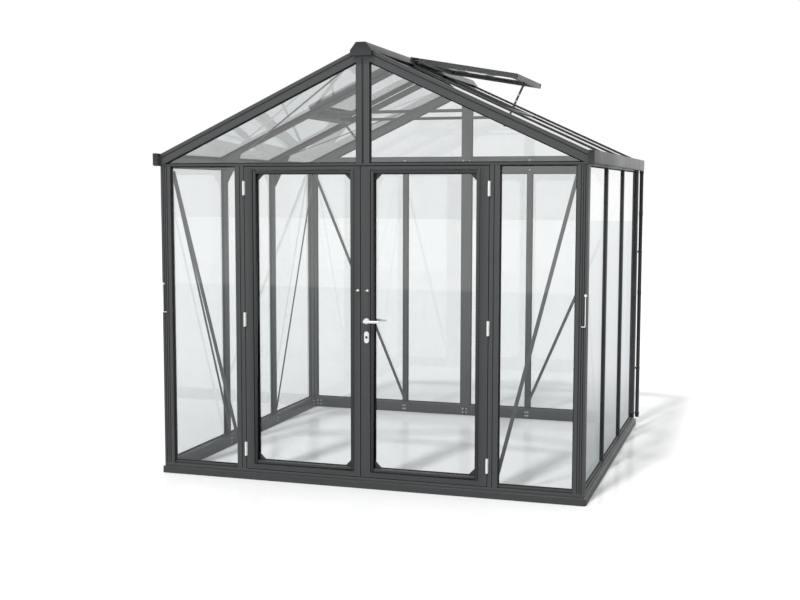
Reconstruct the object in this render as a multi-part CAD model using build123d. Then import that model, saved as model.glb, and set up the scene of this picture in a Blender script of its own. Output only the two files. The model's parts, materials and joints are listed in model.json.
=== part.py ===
from build123d import *
from math import atan, cos, hypot, radians, sin
import os

# Walk-in greenhouse with a gable roof and a pair of doors in its front gable.
# Millimetres. X runs across the front, Y from the front (-) to the rear (+), Z up.
# The origin is on the ground under the middle of the house.

# overall sizes, over the outer faces of the corner posts
house_width = 2570.0
house_depth = 2420.0
eave_height = 1940.0
roof_rise = 0.4636

# base frame
base_step = 13.0
base_step_height = 38.0
base_step_slope = 4.0
sill_height = 62.0
base_upstand = 75.0
base_upstand_wall = 11.0
base_door_gap = 5.0
base_corner_radius = 14.0
base_wall = 3.0

# wall members
frame_depth = 45.0
post_width = 63.0
tube_wall = 3.0
groove_width = 5.0
groove_depth = 4.0
post_groove_places = (0.25, 0.44, 0.65)
door_post_groove_place = 0.45
door_post_width = 57.5
front_panel_width = 424.0
door_stop_lip = 12.0
door_stop_depth = 10.0
front_head_drop = 74.0
front_transom_height = 13.0
rear_head_drop = 86.0
rear_transom_height = 120.0
gable_post_width = 79.0
rear_post_width = 74.0
rear_mullion_width = 34.0
rear_mullion_place = 486.0
bar_width = 30.0
bar_inset = 6.0
bay_pitch = 785.0
eave_beam_drop = 78.0
panel_sill_height = 16.0
panel_sill_inset = 10.0

# roof members, their depths measured straight down
rafter_drop = 70.0
rafter_groove_share = 0.36
rafter_overrun = 60.0
rafter_chamber_share = 0.62
bar_drop = 42.0
ridge_half_width = 40.0
ridge_drop = 60.0
cap_half_width = 63.5
cap_flat_half = 28.5
cap_rise = 19.0
cap_edge = 3.0
cap_wall = 2.5
cap_overhang = 30.0
cap_end_wall = 4.0
cap_end_skirt = 27.0

# glass
glass_thickness = 3.0
glass_setback = 18.0
roof_glass_sink = 8.0

# gutters and downpipes
gutter_drop = 71.0
gutter_rise = 4.0
gutter_reach = 33.0
gutter_wall = 2.0
gutter_chamfer = 6.0
gutter_back_drop = 14.0
gutter_lip = 5.0
gutter_overhang = 30.0
gutter_cap_wall = 3.0
pipe_radius = 13.5
pipe_wall = 1.5
pipe_stand_off = 17.0
pipe_feet = (112.0, 52.0)
pipe_spigot_radius = 14.0
pipe_spigot = 14.0
pipe_collar = 22.0
pipe_collar_wall = 2.0
pipe_bulb_radius = 17.5
pipe_bulb_height = 30.0
pipe_places = (320.0, -22.0)

# inner stiffening
tie_drop = 314.0
tie_width = 20.0
tie_lap = 24.0
strip_thickness = 2.0
brace_width = 22.0
gusset_drop = 110.0
gusset_reach = 118.0
gusset_thickness = 3.0
gusset_lap = 16.0
gusset_width = 20.0
bolt_radius = 5.5
bolt_head = 4.0
bolt_rows = (24.0, 50.0)
bolt_from_corner = (20.0, 45.0)
bolt_from_post = (14.0, 40.0)
bolt_pitch_half = 8.0
post_bolt_lifts = (24.0, 60.0, 96.0)
eave_bolt_lift = 30.0
brace_end_inset = 25.0

# doors
hinge_gap = 4.0
meeting_gap = 4.4
meeting_place = -14.5
leaf_bottom = 66.0
leaf_head_gap = 4.0
leaf_depth = 42.0
stile_face = 50.0
left_lock_stile_face = 38.0
right_lock_stile_face = 56.0
top_rail_face = 19.0
bottom_rail_face = 29.0
bead_width = 21.0
bead_front = 4.0
bead_gap = 3.0
leaf_glass_depth = 33.0
leaf_wall = 3.5
corner_plate = 46.0
corner_plate_thickness = 8.0
hinge_stand_off = 9.0
knuckle_radius = 6.5
knuckle_gap = 0.5
pin_radius = 3.0
pin_clearance = 0.05
hinge_height = 80.0
hinge_plate_reach = 7.5
hinge_web = (3.5, 7.0)
hinge_plate = 2.0
hinge_heights = (184.0, 962.0, 1737.0)

# lock and handle
moving_clearance = 0.5
handle_height = 978.0
handle_inset = 36.0
neck_radius = 8.0
rose_radius = 17.0
rose_thickness = 7.0
lever_length = 92.0
lever_reach = 46.0
lever_height = 17.0
lever_thickness = 9.0
spindle_half = 4.0
lock_height = 885.0
plate_height = 68.0
plate_width = 28.0
plate_thickness = 5.0
plug_radius = 7.0
keyway_width = 1.6
keyway_height = 8.0
bolt_depth = 12.0
latch_height = 16.0
latch_length = 16.0
latch_reach = 3.0
dead_bolt_height = 22.0
dead_bolt_length = 34.0
dead_bolt_throw = 14.0
flush_rod_radius = 4.0
flush_rod_length = 170.0
flush_rod_throw = 12.0
flush_hole_depth = 20.0
flush_knob_radius = 4.2
flush_knob_reach = 13.0
flush_knob_from_end = 20.0

# storm hooks and their eyes
eye_place = 29.0
eye_height = 1154.0
eye_ring = 5.0
eye_wire = 2.0
eye_washer_radius = 7.0
eye_washer = 2.0
hook_plane = 6.0
hook_rise = 6.0
hook_inset = 7.0
hook_wire = 2.5
hook_ring = 5.5
hook_pin_radius = 2.7
hook_drop = 22.0
hook_foot_radius = 8.0
hook_head_radius = 5.5

# roof vents, in the slope's own directions: along it from the peak, and off it
vent_open_angle = 14.8
vent_lift = 5.0
vent_thickness = 31.0
vent_hinge_along = 24.4
vent_hinge_off = 33.0
vent_length = 688.0
vent_flange_end = 74.0
vent_rail = 28.0
vent_bottom_rail = 34.0
vent_side_gap = 3.0
vent_flange = 3.0
vent_wall = 2.5
vent_barrel_radius = 4.0
vent_pin_radius = 2.0
vent_glass_off = 20.0
vent_sill_place = 697.0
vent_sill_width = 36.0
vent_lug_width = 30.0
vent_lug_from_end = 90.0
stay_pivot_along = 654.5
stay_pivot_off = -37.5
stay_length = 300.0
stay_width = 14.0
stay_thickness = 3.0
stay_pin_radius = 2.5
stay_lug = 3.0
stay_tilt = 105.0
stay_holes = (0.25, 0.4, 0.55, 0.7, 0.85)
stay_knob_radius = 8.0
stay_knob_width = 22.0
stay_lug_half = 7.0
stay_lug_drop = 4.0
lug_notch = (6.0, 12.0)
lug_foot_length = 22.0
lug_foot_height = 3.0
peg_length = 16.0
peg_arm_half = 5.0
peg_arm_thickness = 4.0
peg_foot_half = 9.0
peg_foot_length = 22.0
peg_foot_thickness = 3.0
peg_along = 668.0
peg_off = -24.0
peg_radius = 3.0

# values that follow from the ones above
half_width = house_width / 2
half_depth = house_depth / 2
roof_peak = eave_height + roof_rise * half_width
front_head = eave_height - front_head_drop
rear_head = eave_height - rear_head_drop
eave_beam_bottom = eave_height - eave_beam_drop
gutter_bottom = eave_height - gutter_drop
gutter_top = eave_height + gutter_rise
tie_height = roof_peak - tie_drop
base_depth = leaf_depth + base_door_gap + base_upstand_wall
front = -half_depth
slope = atan(roof_rise)
opening_half = half_width - post_width - front_panel_width - door_post_width
door_post_inner = opening_half
door_post_outer = door_post_inner + door_post_width
leaf_top = front_head - leaf_head_gap
hinge_x = door_post_inner - hinge_gap / 2
hinge_y = front - hinge_stand_off
left_leaf = (-door_post_inner + hinge_gap, meeting_place - meeting_gap / 2)
right_leaf = (meeting_place + meeting_gap / 2, door_post_inner - hinge_gap)
handle_x = right_leaf[0] + handle_inset
bar_places = (-bay_pitch / 2, bay_pitch / 2)
front_gable_foot = front_head + front_transom_height
rear_gable_foot = rear_head + rear_transom_height
pipe_x = half_width + pipe_stand_off


def roof_height(x):
    return roof_peak - roof_rise * abs(x)


def reach_at(height, drop):
    return (roof_peak - drop - height) / roof_rise


def block(x0, x1, y0, y1, z0, z1):
    centre = Pos((x0 + x1) / 2, (y0 + y1) / 2, (z0 + z1) / 2)
    return centre * Box(abs(x1 - x0), abs(y1 - y0), abs(z1 - z0))


def upright(points, z0, z1):
    outline = make_face(Polyline(*points, close=True))
    return extrude(Pos(0, 0, z0) * outline, amount=z1 - z0)


def cross(points, y0, y1):
    plane = Plane(origin=(0, y1, 0), x_dir=(1, 0, 0), z_dir=(0, -1, 0))
    outline = make_face(Polyline(*points, close=True))
    return extrude(plane * outline, amount=y1 - y0)


def along(points, x0, x1):
    plane = Plane(origin=(x0, 0, 0), x_dir=(0, 1, 0), z_dir=(1, 0, 0))
    outline = make_face(Polyline(*points, close=True))
    return extrude(plane * outline, amount=x1 - x0)


def rod(radius, length, direction, place):
    plane = Plane(origin=place, z_dir=direction)
    return extrude(plane * Circle(radius), amount=length)


def strip(start, end, width):
    run = hypot(end[0] - start[0], end[1] - start[1])
    side_x = -(end[1] - start[1]) / run * width / 2
    side_y = (end[0] - start[0]) / run * width / 2
    return [
        (start[0] + side_x, start[1] + side_y),
        (end[0] + side_x, end[1] + side_y),
        (end[0] - side_x, end[1] - side_y),
        (start[0] - side_x, start[1] - side_y),
    ]


def solids_of(pieces):
    found = []
    for piece in pieces:
        found.extend(piece.solids())
    return found


def save(name, *pieces):
    solids = solids_of(pieces)
    shape = solids[0] if len(solids) == 1 else Compound(children=solids)
    export_step(shape, "parts/" + name + ".step")


def swap_sides(piece):
    return mirror(piece, about=Plane.YZ)


def swap_ends(piece):
    return mirror(piece, about=Plane.XZ)


# base frame: four mitred rails with an outer step, a sill and an inner upstand

def base_outline():
    outer = -base_step
    chamber_top = sill_height - base_wall
    body = [
        (outer, 0),
        (base_depth, 0),
        (base_depth, base_upstand),
        (base_depth - base_upstand_wall, base_upstand),
        (base_depth - base_upstand_wall, sill_height),
        (0, sill_height),
        (0, base_step_height + base_step_slope),
        (outer, base_step_height),
    ]
    chamber = [
        (base_wall, base_wall),
        (base_depth - base_wall, base_wall),
        (base_depth - base_wall, chamber_top),
        (base_wall, chamber_top),
    ]
    return body, chamber


def base_rail(half_length, half_reach):
    body, chamber = base_outline()
    end = half_length + base_step
    tail = half_reach + base_step
    mitre = base_step + base_depth + 1

    def placed(points):
        return [(-half_reach + inward, height) for inward, height in points]

    rail = along(placed(body), -end, end) - along(placed(chamber), -end, end)
    wedge = [(-end, -tail), (end, -tail), (end - mitre, mitre - tail), (mitre - end, mitre - tail)]
    rail = rail & upright(wedge, -1, base_upstand + 1)
    ring = RectangleRounded(2 * end, 2 * tail, base_corner_radius)
    return rail & extrude(ring, amount=base_upstand + 1)


front_base = base_rail(half_width, half_depth)
rear_base = swap_ends(front_base)
left_base = Rot(0, 0, -90) * base_rail(half_depth, half_width)
right_base = swap_sides(left_base)
flush_x = left_leaf[1] - left_lock_stile_face / 2
flush_y = front + leaf_depth / 2
flush_hole = flush_rod_radius + 1
front_base -= rod(
    flush_hole, 2 * flush_hole_depth, (0, 0, 1),
    (flush_x, flush_y, sill_height - flush_hole_depth))


# posts, mullions and transoms

def notch(x, y, across):
    half = groove_width / 2
    if across:
        return block(x - half, x + half, y - groove_depth, y + groove_depth, 0, roof_peak)
    return block(x - groove_depth, x + groove_depth, y - half, y + half, 0, roof_peak)


def corner_post(head):
    outer = -half_width
    shape = [
        (outer, front),
        (outer + post_width, front),
        (outer + post_width, front + frame_depth),
        (outer + frame_depth, front + frame_depth),
        (outer + frame_depth, front + post_width),
        (outer, front + post_width),
    ]
    wall = tube_wall + groove_depth
    post = upright(shape, sill_height, head)
    post -= block(
        outer + wall, outer + post_width - tube_wall,
        front + wall, front + frame_depth - tube_wall,
        sill_height - 1, head + 1)
    for place in post_groove_places:
        post -= notch(outer + place * post_width, front, True)
        post -= notch(outer, front + place * post_width, False)
    return post


def face_bar(x0, x1, y0, y1, z0, z1, grooves=()):
    bar = block(x0, x1, y0, y1, z0, z1)
    wall = tube_wall + groove_depth
    bar -= block(x0 + tube_wall, x1 - tube_wall, y0 + wall, y1 - wall, z0 - 1, z1 + 1)
    for place in grooves:
        bar -= notch(x0 + place * (x1 - x0), y0, True)
    return bar


def door_post():
    lip_front = front + leaf_depth + hinge_gap
    post = face_bar(
        door_post_inner, door_post_outer, front, front + frame_depth,
        sill_height, front_head, (door_post_groove_place,))
    lip = block(
        door_post_inner - door_stop_lip, door_post_inner + door_stop_lip,
        lip_front, lip_front + door_stop_depth, base_upstand, front_head)
    web = block(
        door_post_inner, door_post_inner + door_stop_lip,
        front + frame_depth - 0.5, lip_front, base_upstand, front_head)
    return post + web + lip


def transom(foot, height, y0, y1):
    top = foot + height
    outer_top = roof_height(half_width) - rafter_drop
    reach = reach_at(top, rafter_drop)
    shape = [
        (-half_width, foot),
        (half_width, foot),
        (half_width, outer_top),
        (reach, top),
        (-reach, top),
        (-half_width, outer_top),
    ]
    return cross(shape, y0, y1)


def gable_post(half, foot, y0, y1):
    shape = [
        (-half, foot),
        (half, foot),
        (half, roof_height(half) - rafter_drop),
        (0, roof_peak - rafter_drop),
        (-half, roof_height(half) - rafter_drop),
    ]
    return cross(shape, y0, y1)


def rafter(y0, y1):
    shape = [
        (-half_width, roof_height(half_width) - rafter_drop),
        (-half_width, roof_height(half_width)),
        (0, roof_peak),
        (0, roof_peak - rafter_drop),
    ]
    piece = cross(shape, y0, y1)
    inner = y0 + tube_wall
    line = strip(
        (-half_width - rafter_overrun,
         roof_height(half_width + rafter_overrun) - rafter_drop * rafter_groove_share),
        (rafter_overrun,
         roof_peak + roof_rise * rafter_overrun - rafter_drop * rafter_groove_share),
        groove_width)
    groove = cross(line, y0 - groove_depth, y0 + groove_depth)
    hollow = strip(
        (-half_width - rafter_overrun, roof_height(half_width + rafter_overrun) - rafter_drop / 2),
        (rafter_overrun, roof_peak + roof_rise * rafter_overrun - rafter_drop / 2),
        rafter_drop * rafter_chamber_share)
    return piece - groove - cross(hollow, inner + groove_depth, y1 - tube_wall)


front_corner = corner_post(front_head)
rear_corner = swap_ends(corner_post(rear_head))
front_transom = transom(front_head, front_transom_height, front, front + frame_depth)
stop_front = front + leaf_depth + hinge_gap
front_transom += block(
    -door_post_outer, door_post_outer, front + frame_depth - 0.5,
    stop_front + door_stop_depth, front_head, front_head + front_transom_height)
front_transom += block(
    -door_post_inner + door_stop_lip, door_post_inner - door_stop_lip,
    stop_front, stop_front + door_stop_depth, front_head - door_stop_lip, front_head)
front_transom -= rod(flush_hole, 11, (0, 0, 1), (flush_x, flush_y, front_head - 1))
rear_inner = half_depth - frame_depth
rear_transom = transom(rear_head, rear_transom_height, rear_inner, half_depth)
chamber_edge = roof_height(half_width) - rafter_drop - tube_wall
chamber_reach = reach_at(rear_gable_foot - tube_wall, rafter_drop + tube_wall)
rear_transom -= block(
    -half_width - 1, half_width + 1, rear_inner + tube_wall, half_depth - tube_wall,
    rear_head + tube_wall, chamber_edge - tube_wall)
rear_transom -= block(
    -chamber_reach, chamber_reach, rear_inner + tube_wall, half_depth - tube_wall,
    chamber_edge, rear_gable_foot - tube_wall)

front_gable_post = gable_post(gable_post_width / 2, front_gable_foot, front, front + frame_depth)
front_gable_post -= block(
    -groove_width, groove_width, front - 1, front + 2 * groove_depth,
    front_gable_foot - 1, roof_peak)

rear_half = rear_post_width / 2
rear_centre_post = face_bar(
    -rear_half, rear_half, rear_inner, half_depth, sill_height, rear_head)
rear_gable_post = gable_post(rear_half, rear_gable_foot, rear_inner, half_depth)

rear_mullion = face_bar(
    rear_mullion_place - rear_mullion_width / 2, rear_mullion_place + rear_mullion_width / 2,
    rear_inner, half_depth - bar_inset, sill_height, rear_head)


def side_mullion(y):
    bar = block(
        half_width - frame_depth, half_width - bar_inset,
        y - bar_width / 2, y + bar_width / 2, sill_height, eave_beam_bottom)
    return bar - block(
        half_width - frame_depth + tube_wall, half_width - bar_inset - tube_wall,
        y - bar_width / 2 + tube_wall, y + bar_width / 2 - tube_wall,
        sill_height - 1, eave_beam_bottom + 1)


def eave_beam():
    inner = half_width - frame_depth
    shape = [
        (inner, eave_beam_bottom),
        (half_width, eave_beam_bottom),
        (half_width, roof_height(half_width) - bar_drop),
        (inner, roof_height(inner) - bar_drop),
    ]
    hollow = [
        (inner + tube_wall, eave_beam_bottom + tube_wall),
        (half_width - tube_wall, eave_beam_bottom + tube_wall),
        (half_width - tube_wall, roof_height(half_width) - bar_drop - 2 * tube_wall),
        (inner + tube_wall, roof_height(inner) - bar_drop - 2 * tube_wall),
    ]
    beam = cross(shape, front + frame_depth, half_depth - frame_depth)
    beam -= cross(hollow, front, half_depth)
    beam -= swap_sides(front_corner)
    return beam - swap_sides(rear_corner)


right_side_mullions = [side_mullion(place) for place in bar_places]
right_eave_beam = eave_beam()


# roof bars, ridge and vent sills

def slope_bar(x0, x1, top_sink, drop, y0, y1):
    shape = [
        (x0, roof_height(x0) - top_sink),
        (x1, roof_height(x1) - top_sink),
        (x1, roof_height(x1) - drop),
        (x0, roof_height(x0) - drop),
    ]
    return cross(shape, y0, y1)


def roof_bar(y):
    half = bar_width / 2
    return slope_bar(ridge_half_width, half_width, 0, bar_drop, y - half, y + half)


ridge_edge = roof_height(ridge_half_width)
ridge_shape = [
    (-ridge_half_width, ridge_edge),
    (0, roof_peak),
    (ridge_half_width, ridge_edge),
    (ridge_half_width, ridge_edge - ridge_drop),
    (-ridge_half_width, ridge_edge - ridge_drop),
]
ridge_beam = cross(ridge_shape, front + frame_depth, half_depth - frame_depth)
ridge_beam -= block(
    -ridge_half_width + tube_wall, ridge_half_width - tube_wall, front, half_depth,
    ridge_edge - ridge_drop + tube_wall, ridge_edge - tube_wall)

cap_shape = [
    (-cap_half_width, roof_height(cap_half_width)),
    (0, roof_peak),
    (cap_half_width, roof_height(cap_half_width)),
    (cap_half_width, roof_height(cap_half_width) + cap_edge),
    (cap_flat_half, roof_peak + cap_rise),
    (-cap_flat_half, roof_peak + cap_rise),
    (-cap_half_width, roof_height(cap_half_width) + cap_edge),
]
cap_core = [
    (-cap_flat_half, roof_height(cap_flat_half) + cap_wall),
    (0, roof_peak + cap_wall),
    (cap_flat_half, roof_height(cap_flat_half) + cap_wall),
    (cap_flat_half - cap_wall, roof_peak + cap_rise - cap_wall),
    (cap_wall - cap_flat_half, roof_peak + cap_rise - cap_wall),
]
cap_end = front - cap_overhang
ridge_cap = cross(cap_shape, cap_end, -cap_end) - cross(cap_core, cap_end - 1, 1 - cap_end)

end_cap_shape = [
    (-cap_half_width, roof_height(cap_half_width) - cap_end_skirt),
    (cap_half_width, roof_height(cap_half_width) - cap_end_skirt),
    (cap_half_width, roof_height(cap_half_width) + cap_edge),
    (cap_flat_half, roof_peak + cap_rise),
    (-cap_flat_half, roof_peak + cap_rise),
    (-cap_half_width, roof_height(cap_half_width) + cap_edge),
]
ridge_end_cap = cross(end_cap_shape, cap_end - cap_end_wall, cap_end)

bay_inner = bar_places[0] + bar_width / 2
vent_sill_x0 = vent_sill_place * cos(slope)
vent_sill_x1 = vent_sill_x0 + vent_sill_width * cos(slope)
vent_sill = slope_bar(vent_sill_x0, vent_sill_x1, 0, bar_drop, bay_inner, -bay_inner)


# gutters and downpipes

def gutter():
    back = half_width
    nose = half_width + gutter_reach
    shape = [
        (back, gutter_bottom),
        (nose - gutter_chamfer, gutter_bottom),
        (nose, gutter_bottom + gutter_chamfer),
        (nose, gutter_top),
        (nose - gutter_lip, gutter_top),
        (nose - gutter_lip, gutter_top - gutter_wall),
        (nose - gutter_wall, gutter_top - gutter_wall),
        (nose - gutter_wall, gutter_bottom + gutter_chamfer + gutter_wall),
        (nose - gutter_chamfer - gutter_wall, gutter_bottom + gutter_wall),
        (back + gutter_wall, gutter_bottom + gutter_wall),
        (back + gutter_wall, roof_height(half_width) - gutter_back_drop),
        (back, roof_height(half_width) - gutter_back_drop),
    ]
    return cross(shape, front - gutter_overhang, half_depth + gutter_overhang)


def gutter_end():
    nose = half_width + gutter_reach
    shape = [
        (half_width, gutter_bottom),
        (nose - gutter_chamfer, gutter_bottom),
        (nose, gutter_bottom + gutter_chamfer),
        (nose, gutter_top),
        (half_width, gutter_top),
    ]
    end = front - gutter_overhang
    return cross(shape, end - gutter_cap_wall, end)


def downpipe(y, foot):
    middle = foot + pipe_spigot + pipe_bulb_height / 2
    spigot = rod(pipe_spigot_radius, middle - foot, (0, 0, 1), (pipe_x, y, foot))
    pipe = rod(pipe_radius, gutter_bottom - middle, (0, 0, 1), (pipe_x, y, middle))
    bulb = Pos(pipe_x, y, middle) * Sphere(pipe_bulb_radius)
    collar = rod(
        pipe_radius + pipe_collar_wall, pipe_collar, (0, 0, 1),
        (pipe_x, y, gutter_bottom - pipe_collar))
    bore = rod(pipe_radius - pipe_wall, gutter_bottom, (0, 0, 1), (pipe_x, y, 0))
    return spigot + pipe + bulb + collar - bore


right_gutter = gutter()
pipe_rows = [half_depth - place for place in pipe_places]
for row in pipe_rows:
    right_gutter -= rod(
        pipe_radius - pipe_wall, 20, (0, 0, 1), (pipe_x, row, gutter_bottom - 10))


# glass panes

def wall_rows():
    edges = [front + post_width]
    for place in bar_places:
        edges.extend([place - bar_width / 2, place + bar_width / 2])
    edges.append(half_depth - post_width)
    return list(zip(edges[0::2], edges[1::2]))


def gable_pane(half, foot, y):
    reach = reach_at(foot, rafter_drop)
    shape = [
        (half, foot),
        (reach, foot),
        (half, roof_height(half) - rafter_drop),
    ]
    return cross(shape, y, y + glass_thickness)


panel_foot = sill_height + panel_sill_height
front_pane_y = front + glass_setback
rear_pane_y = half_depth - glass_setback - glass_thickness
side_pane_x = half_width - glass_setback - glass_thickness
post_inner = half_width - post_width

front_panes = [
    block(door_post_outer, post_inner, front_pane_y, front_pane_y + glass_thickness,
          panel_foot, front_head),
    gable_pane(gable_post_width / 2, front_gable_foot, front_pane_y),
]
mullion_half = rear_mullion_width / 2
rear_columns = [
    (rear_half, rear_mullion_place - mullion_half),
    (rear_mullion_place + mullion_half, post_inner),
]
rear_panes = [gable_pane(rear_half, rear_gable_foot, rear_pane_y)]
for x0, x1 in rear_columns:
    rear_panes.append(block(
        x0, x1, rear_pane_y, rear_pane_y + glass_thickness, panel_foot, rear_head))
side_panes = []
for y0, y1 in wall_rows():
    side_panes.append(block(
        side_pane_x, side_pane_x + glass_thickness, y0, y1, panel_foot, eave_beam_bottom))

roof_rows = [
    (front + frame_depth, bar_places[0] - bar_width / 2, ridge_half_width),
    (bay_inner, -bay_inner, vent_sill_x1),
    (bar_places[1] + bar_width / 2, half_depth - frame_depth, ridge_half_width),
]
roof_pane_drop = roof_glass_sink + glass_thickness / cos(slope)
roof_panes = []
for y0, y1, x0 in roof_rows:
    roof_panes.append(slope_bar(x0, half_width, roof_glass_sink, roof_pane_drop, y0, y1))


# sills under the panes

sill_pieces = [
    block(door_post_outer, post_inner, front + panel_sill_inset, front + frame_depth,
          sill_height, panel_foot),
]
for x0, x1 in rear_columns:
    sill_pieces.append(block(
        x0, x1, rear_inner, half_depth - panel_sill_inset, sill_height, panel_foot))
for y0, y1 in wall_rows():
    sill_pieces.append(block(
        half_width - frame_depth, half_width - panel_sill_inset, y0, y1,
        sill_height, panel_foot))


# stiffening: collar ties, knee gussets and flat diagonal braces

tie_reach = reach_at(tie_height, bar_drop) + tie_lap
tie_face = bar_places[0] + bar_width / 2
collar_tie = block(
    -tie_reach, tie_reach, tie_face, tie_face + strip_thickness,
    tie_height - tie_width / 2, tie_height + tie_width / 2)
rear_tie = swap_ends(collar_tie)

knee_x = half_width - frame_depth
knee_foot = eave_beam_bottom - gusset_drop
knee_shape = [
    (knee_x + gusset_lap, knee_foot),
    (knee_x - 2, knee_foot),
    (knee_x - gusset_reach, roof_height(knee_x - gusset_reach) - bar_drop - 2),
    (knee_x - gusset_reach, roof_height(knee_x - gusset_reach) - bar_drop + gusset_width - 2),
    (knee_x - 1, roof_height(knee_x - 1) - bar_drop + gusset_width - 2),
    (knee_x - 1, eave_beam_bottom - 1),
    (knee_x + gusset_lap, eave_beam_bottom - 1),
]
knees = []
for place, turn in ((bar_places[0], -1), (bar_places[1], 1)):
    face = place + turn * bar_width / 2
    knees.append(cross(
        knee_shape, min(face, face + turn * gusset_thickness),
        max(face, face + turn * gusset_thickness)))

brace_top = eave_beam_bottom - brace_end_inset
brace_foot = panel_foot + brace_end_inset
brace_edge = brace_width / 2 + 4
brace_head_x = knee_x - strip_thickness - brace_edge
front_brace = cross(
    strip((brace_head_x, brace_top), (door_post_outer - brace_edge, brace_foot), brace_width),
    front + frame_depth, front + frame_depth + strip_thickness)
rear_brace = cross(
    strip((brace_head_x, brace_top), (rear_mullion_place, brace_foot), brace_width),
    rear_inner - strip_thickness, rear_inner)
side_brace = along(
    strip((front + frame_depth + strip_thickness + brace_edge, brace_top),
          (bar_places[0], brace_foot), brace_width),
    knee_x - strip_thickness, knee_x)


def roof_brace(y_eave, y_ridge):
    eave_x = knee_x - gusset_reach - brace_width
    ridge_x = ridge_half_width + brace_width
    lift = Plane(
        origin=(0, 0, roof_peak - bar_drop),
        x_dir=(-cos(slope), 0, -sin(slope)), z_dir=(-sin(slope), 0, cos(slope)))
    start = (eave_x / cos(slope), -y_eave)
    end = (ridge_x / cos(slope), -y_ridge)
    outline = make_face(Polyline(*strip(start, end, brace_width), close=True))
    return extrude(lift * outline, amount=-strip_thickness)


front_roof_brace = roof_brace(bar_places[0], front + frame_depth + brace_edge)
rear_roof_brace = roof_brace(bar_places[1], half_depth - frame_depth - brace_edge)


# bolt heads on the inner faces of the frame

def bolt(place, direction):
    plane = Plane(origin=place, z_dir=direction)
    return extrude(plane * RegularPolygon(bolt_radius, 6), amount=bolt_head)


bolts = []
inner_front = front + base_depth
inner_side = half_width - base_depth
corner_row = [inner_side - inset for inset in bolt_from_corner]
front_row = corner_row + [door_post_outer - inset for inset in bolt_from_post]
for x in front_row:
    for z in bolt_rows:
        bolts.append(bolt((x, inner_front, z), (0, 1, 0)))
rear_row = corner_row + [
    rear_mullion_place - bolt_pitch_half, rear_mullion_place + bolt_pitch_half, bolt_from_post[0]]
for x in rear_row:
    for z in bolt_rows:
        bolts.append(bolt((x, half_depth - base_depth, z), (0, -1, 0)))
side_row = [half_depth - base_depth - inset for inset in bolt_from_corner] + [bay_pitch / 2]
for y in side_row:
    for end in (-1, 1):
        for z in bolt_rows:
            bolts.append(bolt((inner_side, end * y, z), (-1, 0, 0)))
for x in (rear_mullion_place, rear_half - bolt_from_post[0]):
    for lift in post_bolt_lifts:
        bolts.append(bolt((x, rear_inner, rear_head + lift), (0, -1, 0)))
bolts.append(bolt((knee_x, -bay_pitch / 2, eave_beam_bottom + eave_bolt_lift), (-1, 0, 0)))
bolts.append(bolt((knee_x, bay_pitch / 2, eave_beam_bottom + eave_bolt_lift), (-1, 0, 0)))


# door leaves

def leaf_parts(x0, x1, face0, face1):
    z0 = leaf_bottom
    z1 = leaf_top
    window = (x0 + face0, x1 - face1, z0 + bottom_rail_face, z1 - top_rail_face)
    sight = (
        window[0] + bead_width, window[1] - bead_width,
        window[2] + bead_width, window[3] - bead_width)
    back = front + leaf_depth
    seat = front + leaf_glass_depth + glass_thickness
    ring = block(x0, x1, front, back, z0, z1)
    ring -= block(window[0], window[1], front - 1, seat, window[2], window[3])
    ring -= block(sight[0], sight[1], seat - 1, back + 1, sight[2], sight[3])
    stile0 = ring & block(x0 - 1, sight[0], front - 1, back + 1, z0 - 1, z1 + 1)
    stile1 = ring & block(sight[1], x1 + 1, front - 1, back + 1, z0 - 1, z1 + 1)
    foot = ring & block(sight[0], sight[1], front - 1, back + 1, z0 - 1, sight[2] + 1)
    head = ring & block(sight[0], sight[1], front - 1, back + 1, sight[3] - 1, z1 + 1)
    for start, face in ((x0, face0), (x1 - face1, face1)):
        hollow = block(
            start + leaf_wall, start + face - leaf_wall, front + leaf_wall, back - leaf_wall,
            z0 - 1, z1 + 1)
        stile0 -= hollow
        stile1 -= hollow
    foot -= block(
        sight[0] - 1, sight[1] + 1, front + leaf_wall, back - leaf_wall,
        z0 + leaf_wall, window[2] - leaf_wall)
    head -= block(
        sight[0] - 1, sight[1] + 1, front + leaf_wall, back - leaf_wall,
        window[3] + leaf_wall, z1 - leaf_wall)
    pane = block(
        window[0], window[1], front + leaf_glass_depth, seat, window[2], window[3])
    bead_y = (front + bead_front, front + leaf_glass_depth)
    outer = (
        window[0] + bead_gap, window[1] - bead_gap, window[2] + bead_gap, window[3] - bead_gap)
    beads = [
        block(outer[0], sight[0], *bead_y, outer[2], outer[3]),
        block(sight[1], outer[1], *bead_y, outer[2], outer[3]),
        block(sight[0], sight[1], *bead_y, outer[2], sight[2]),
        block(sight[0], sight[1], *bead_y, sight[3], outer[3]),
    ]
    plate_y = (front + leaf_glass_depth - corner_plate_thickness, front + leaf_glass_depth)
    for corner_x, turn_x in ((sight[0], 1), (sight[1], -1)):
        for corner_z, turn_z in ((sight[2], 1), (sight[3], -1)):
            shape = [
                (corner_x, corner_z),
                (corner_x + turn_x * corner_plate, corner_z),
                (corner_x, corner_z + turn_z * corner_plate),
            ]
            beads.append(cross(shape, *plate_y))
    return [stile0, stile1, foot, head], pane, beads


# hinges: each has two outer knuckles on the post and a middle one on the leaf

def knuckle(x, z0, z1):
    barrel = rod(knuckle_radius, z1 - z0, (0, 0, 1), (x, hinge_y, z0))
    return barrel - rod(
        pin_radius + pin_clearance, z1 - z0 + 2, (0, 0, 1), (x, hinge_y, z0 - 1))


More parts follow.
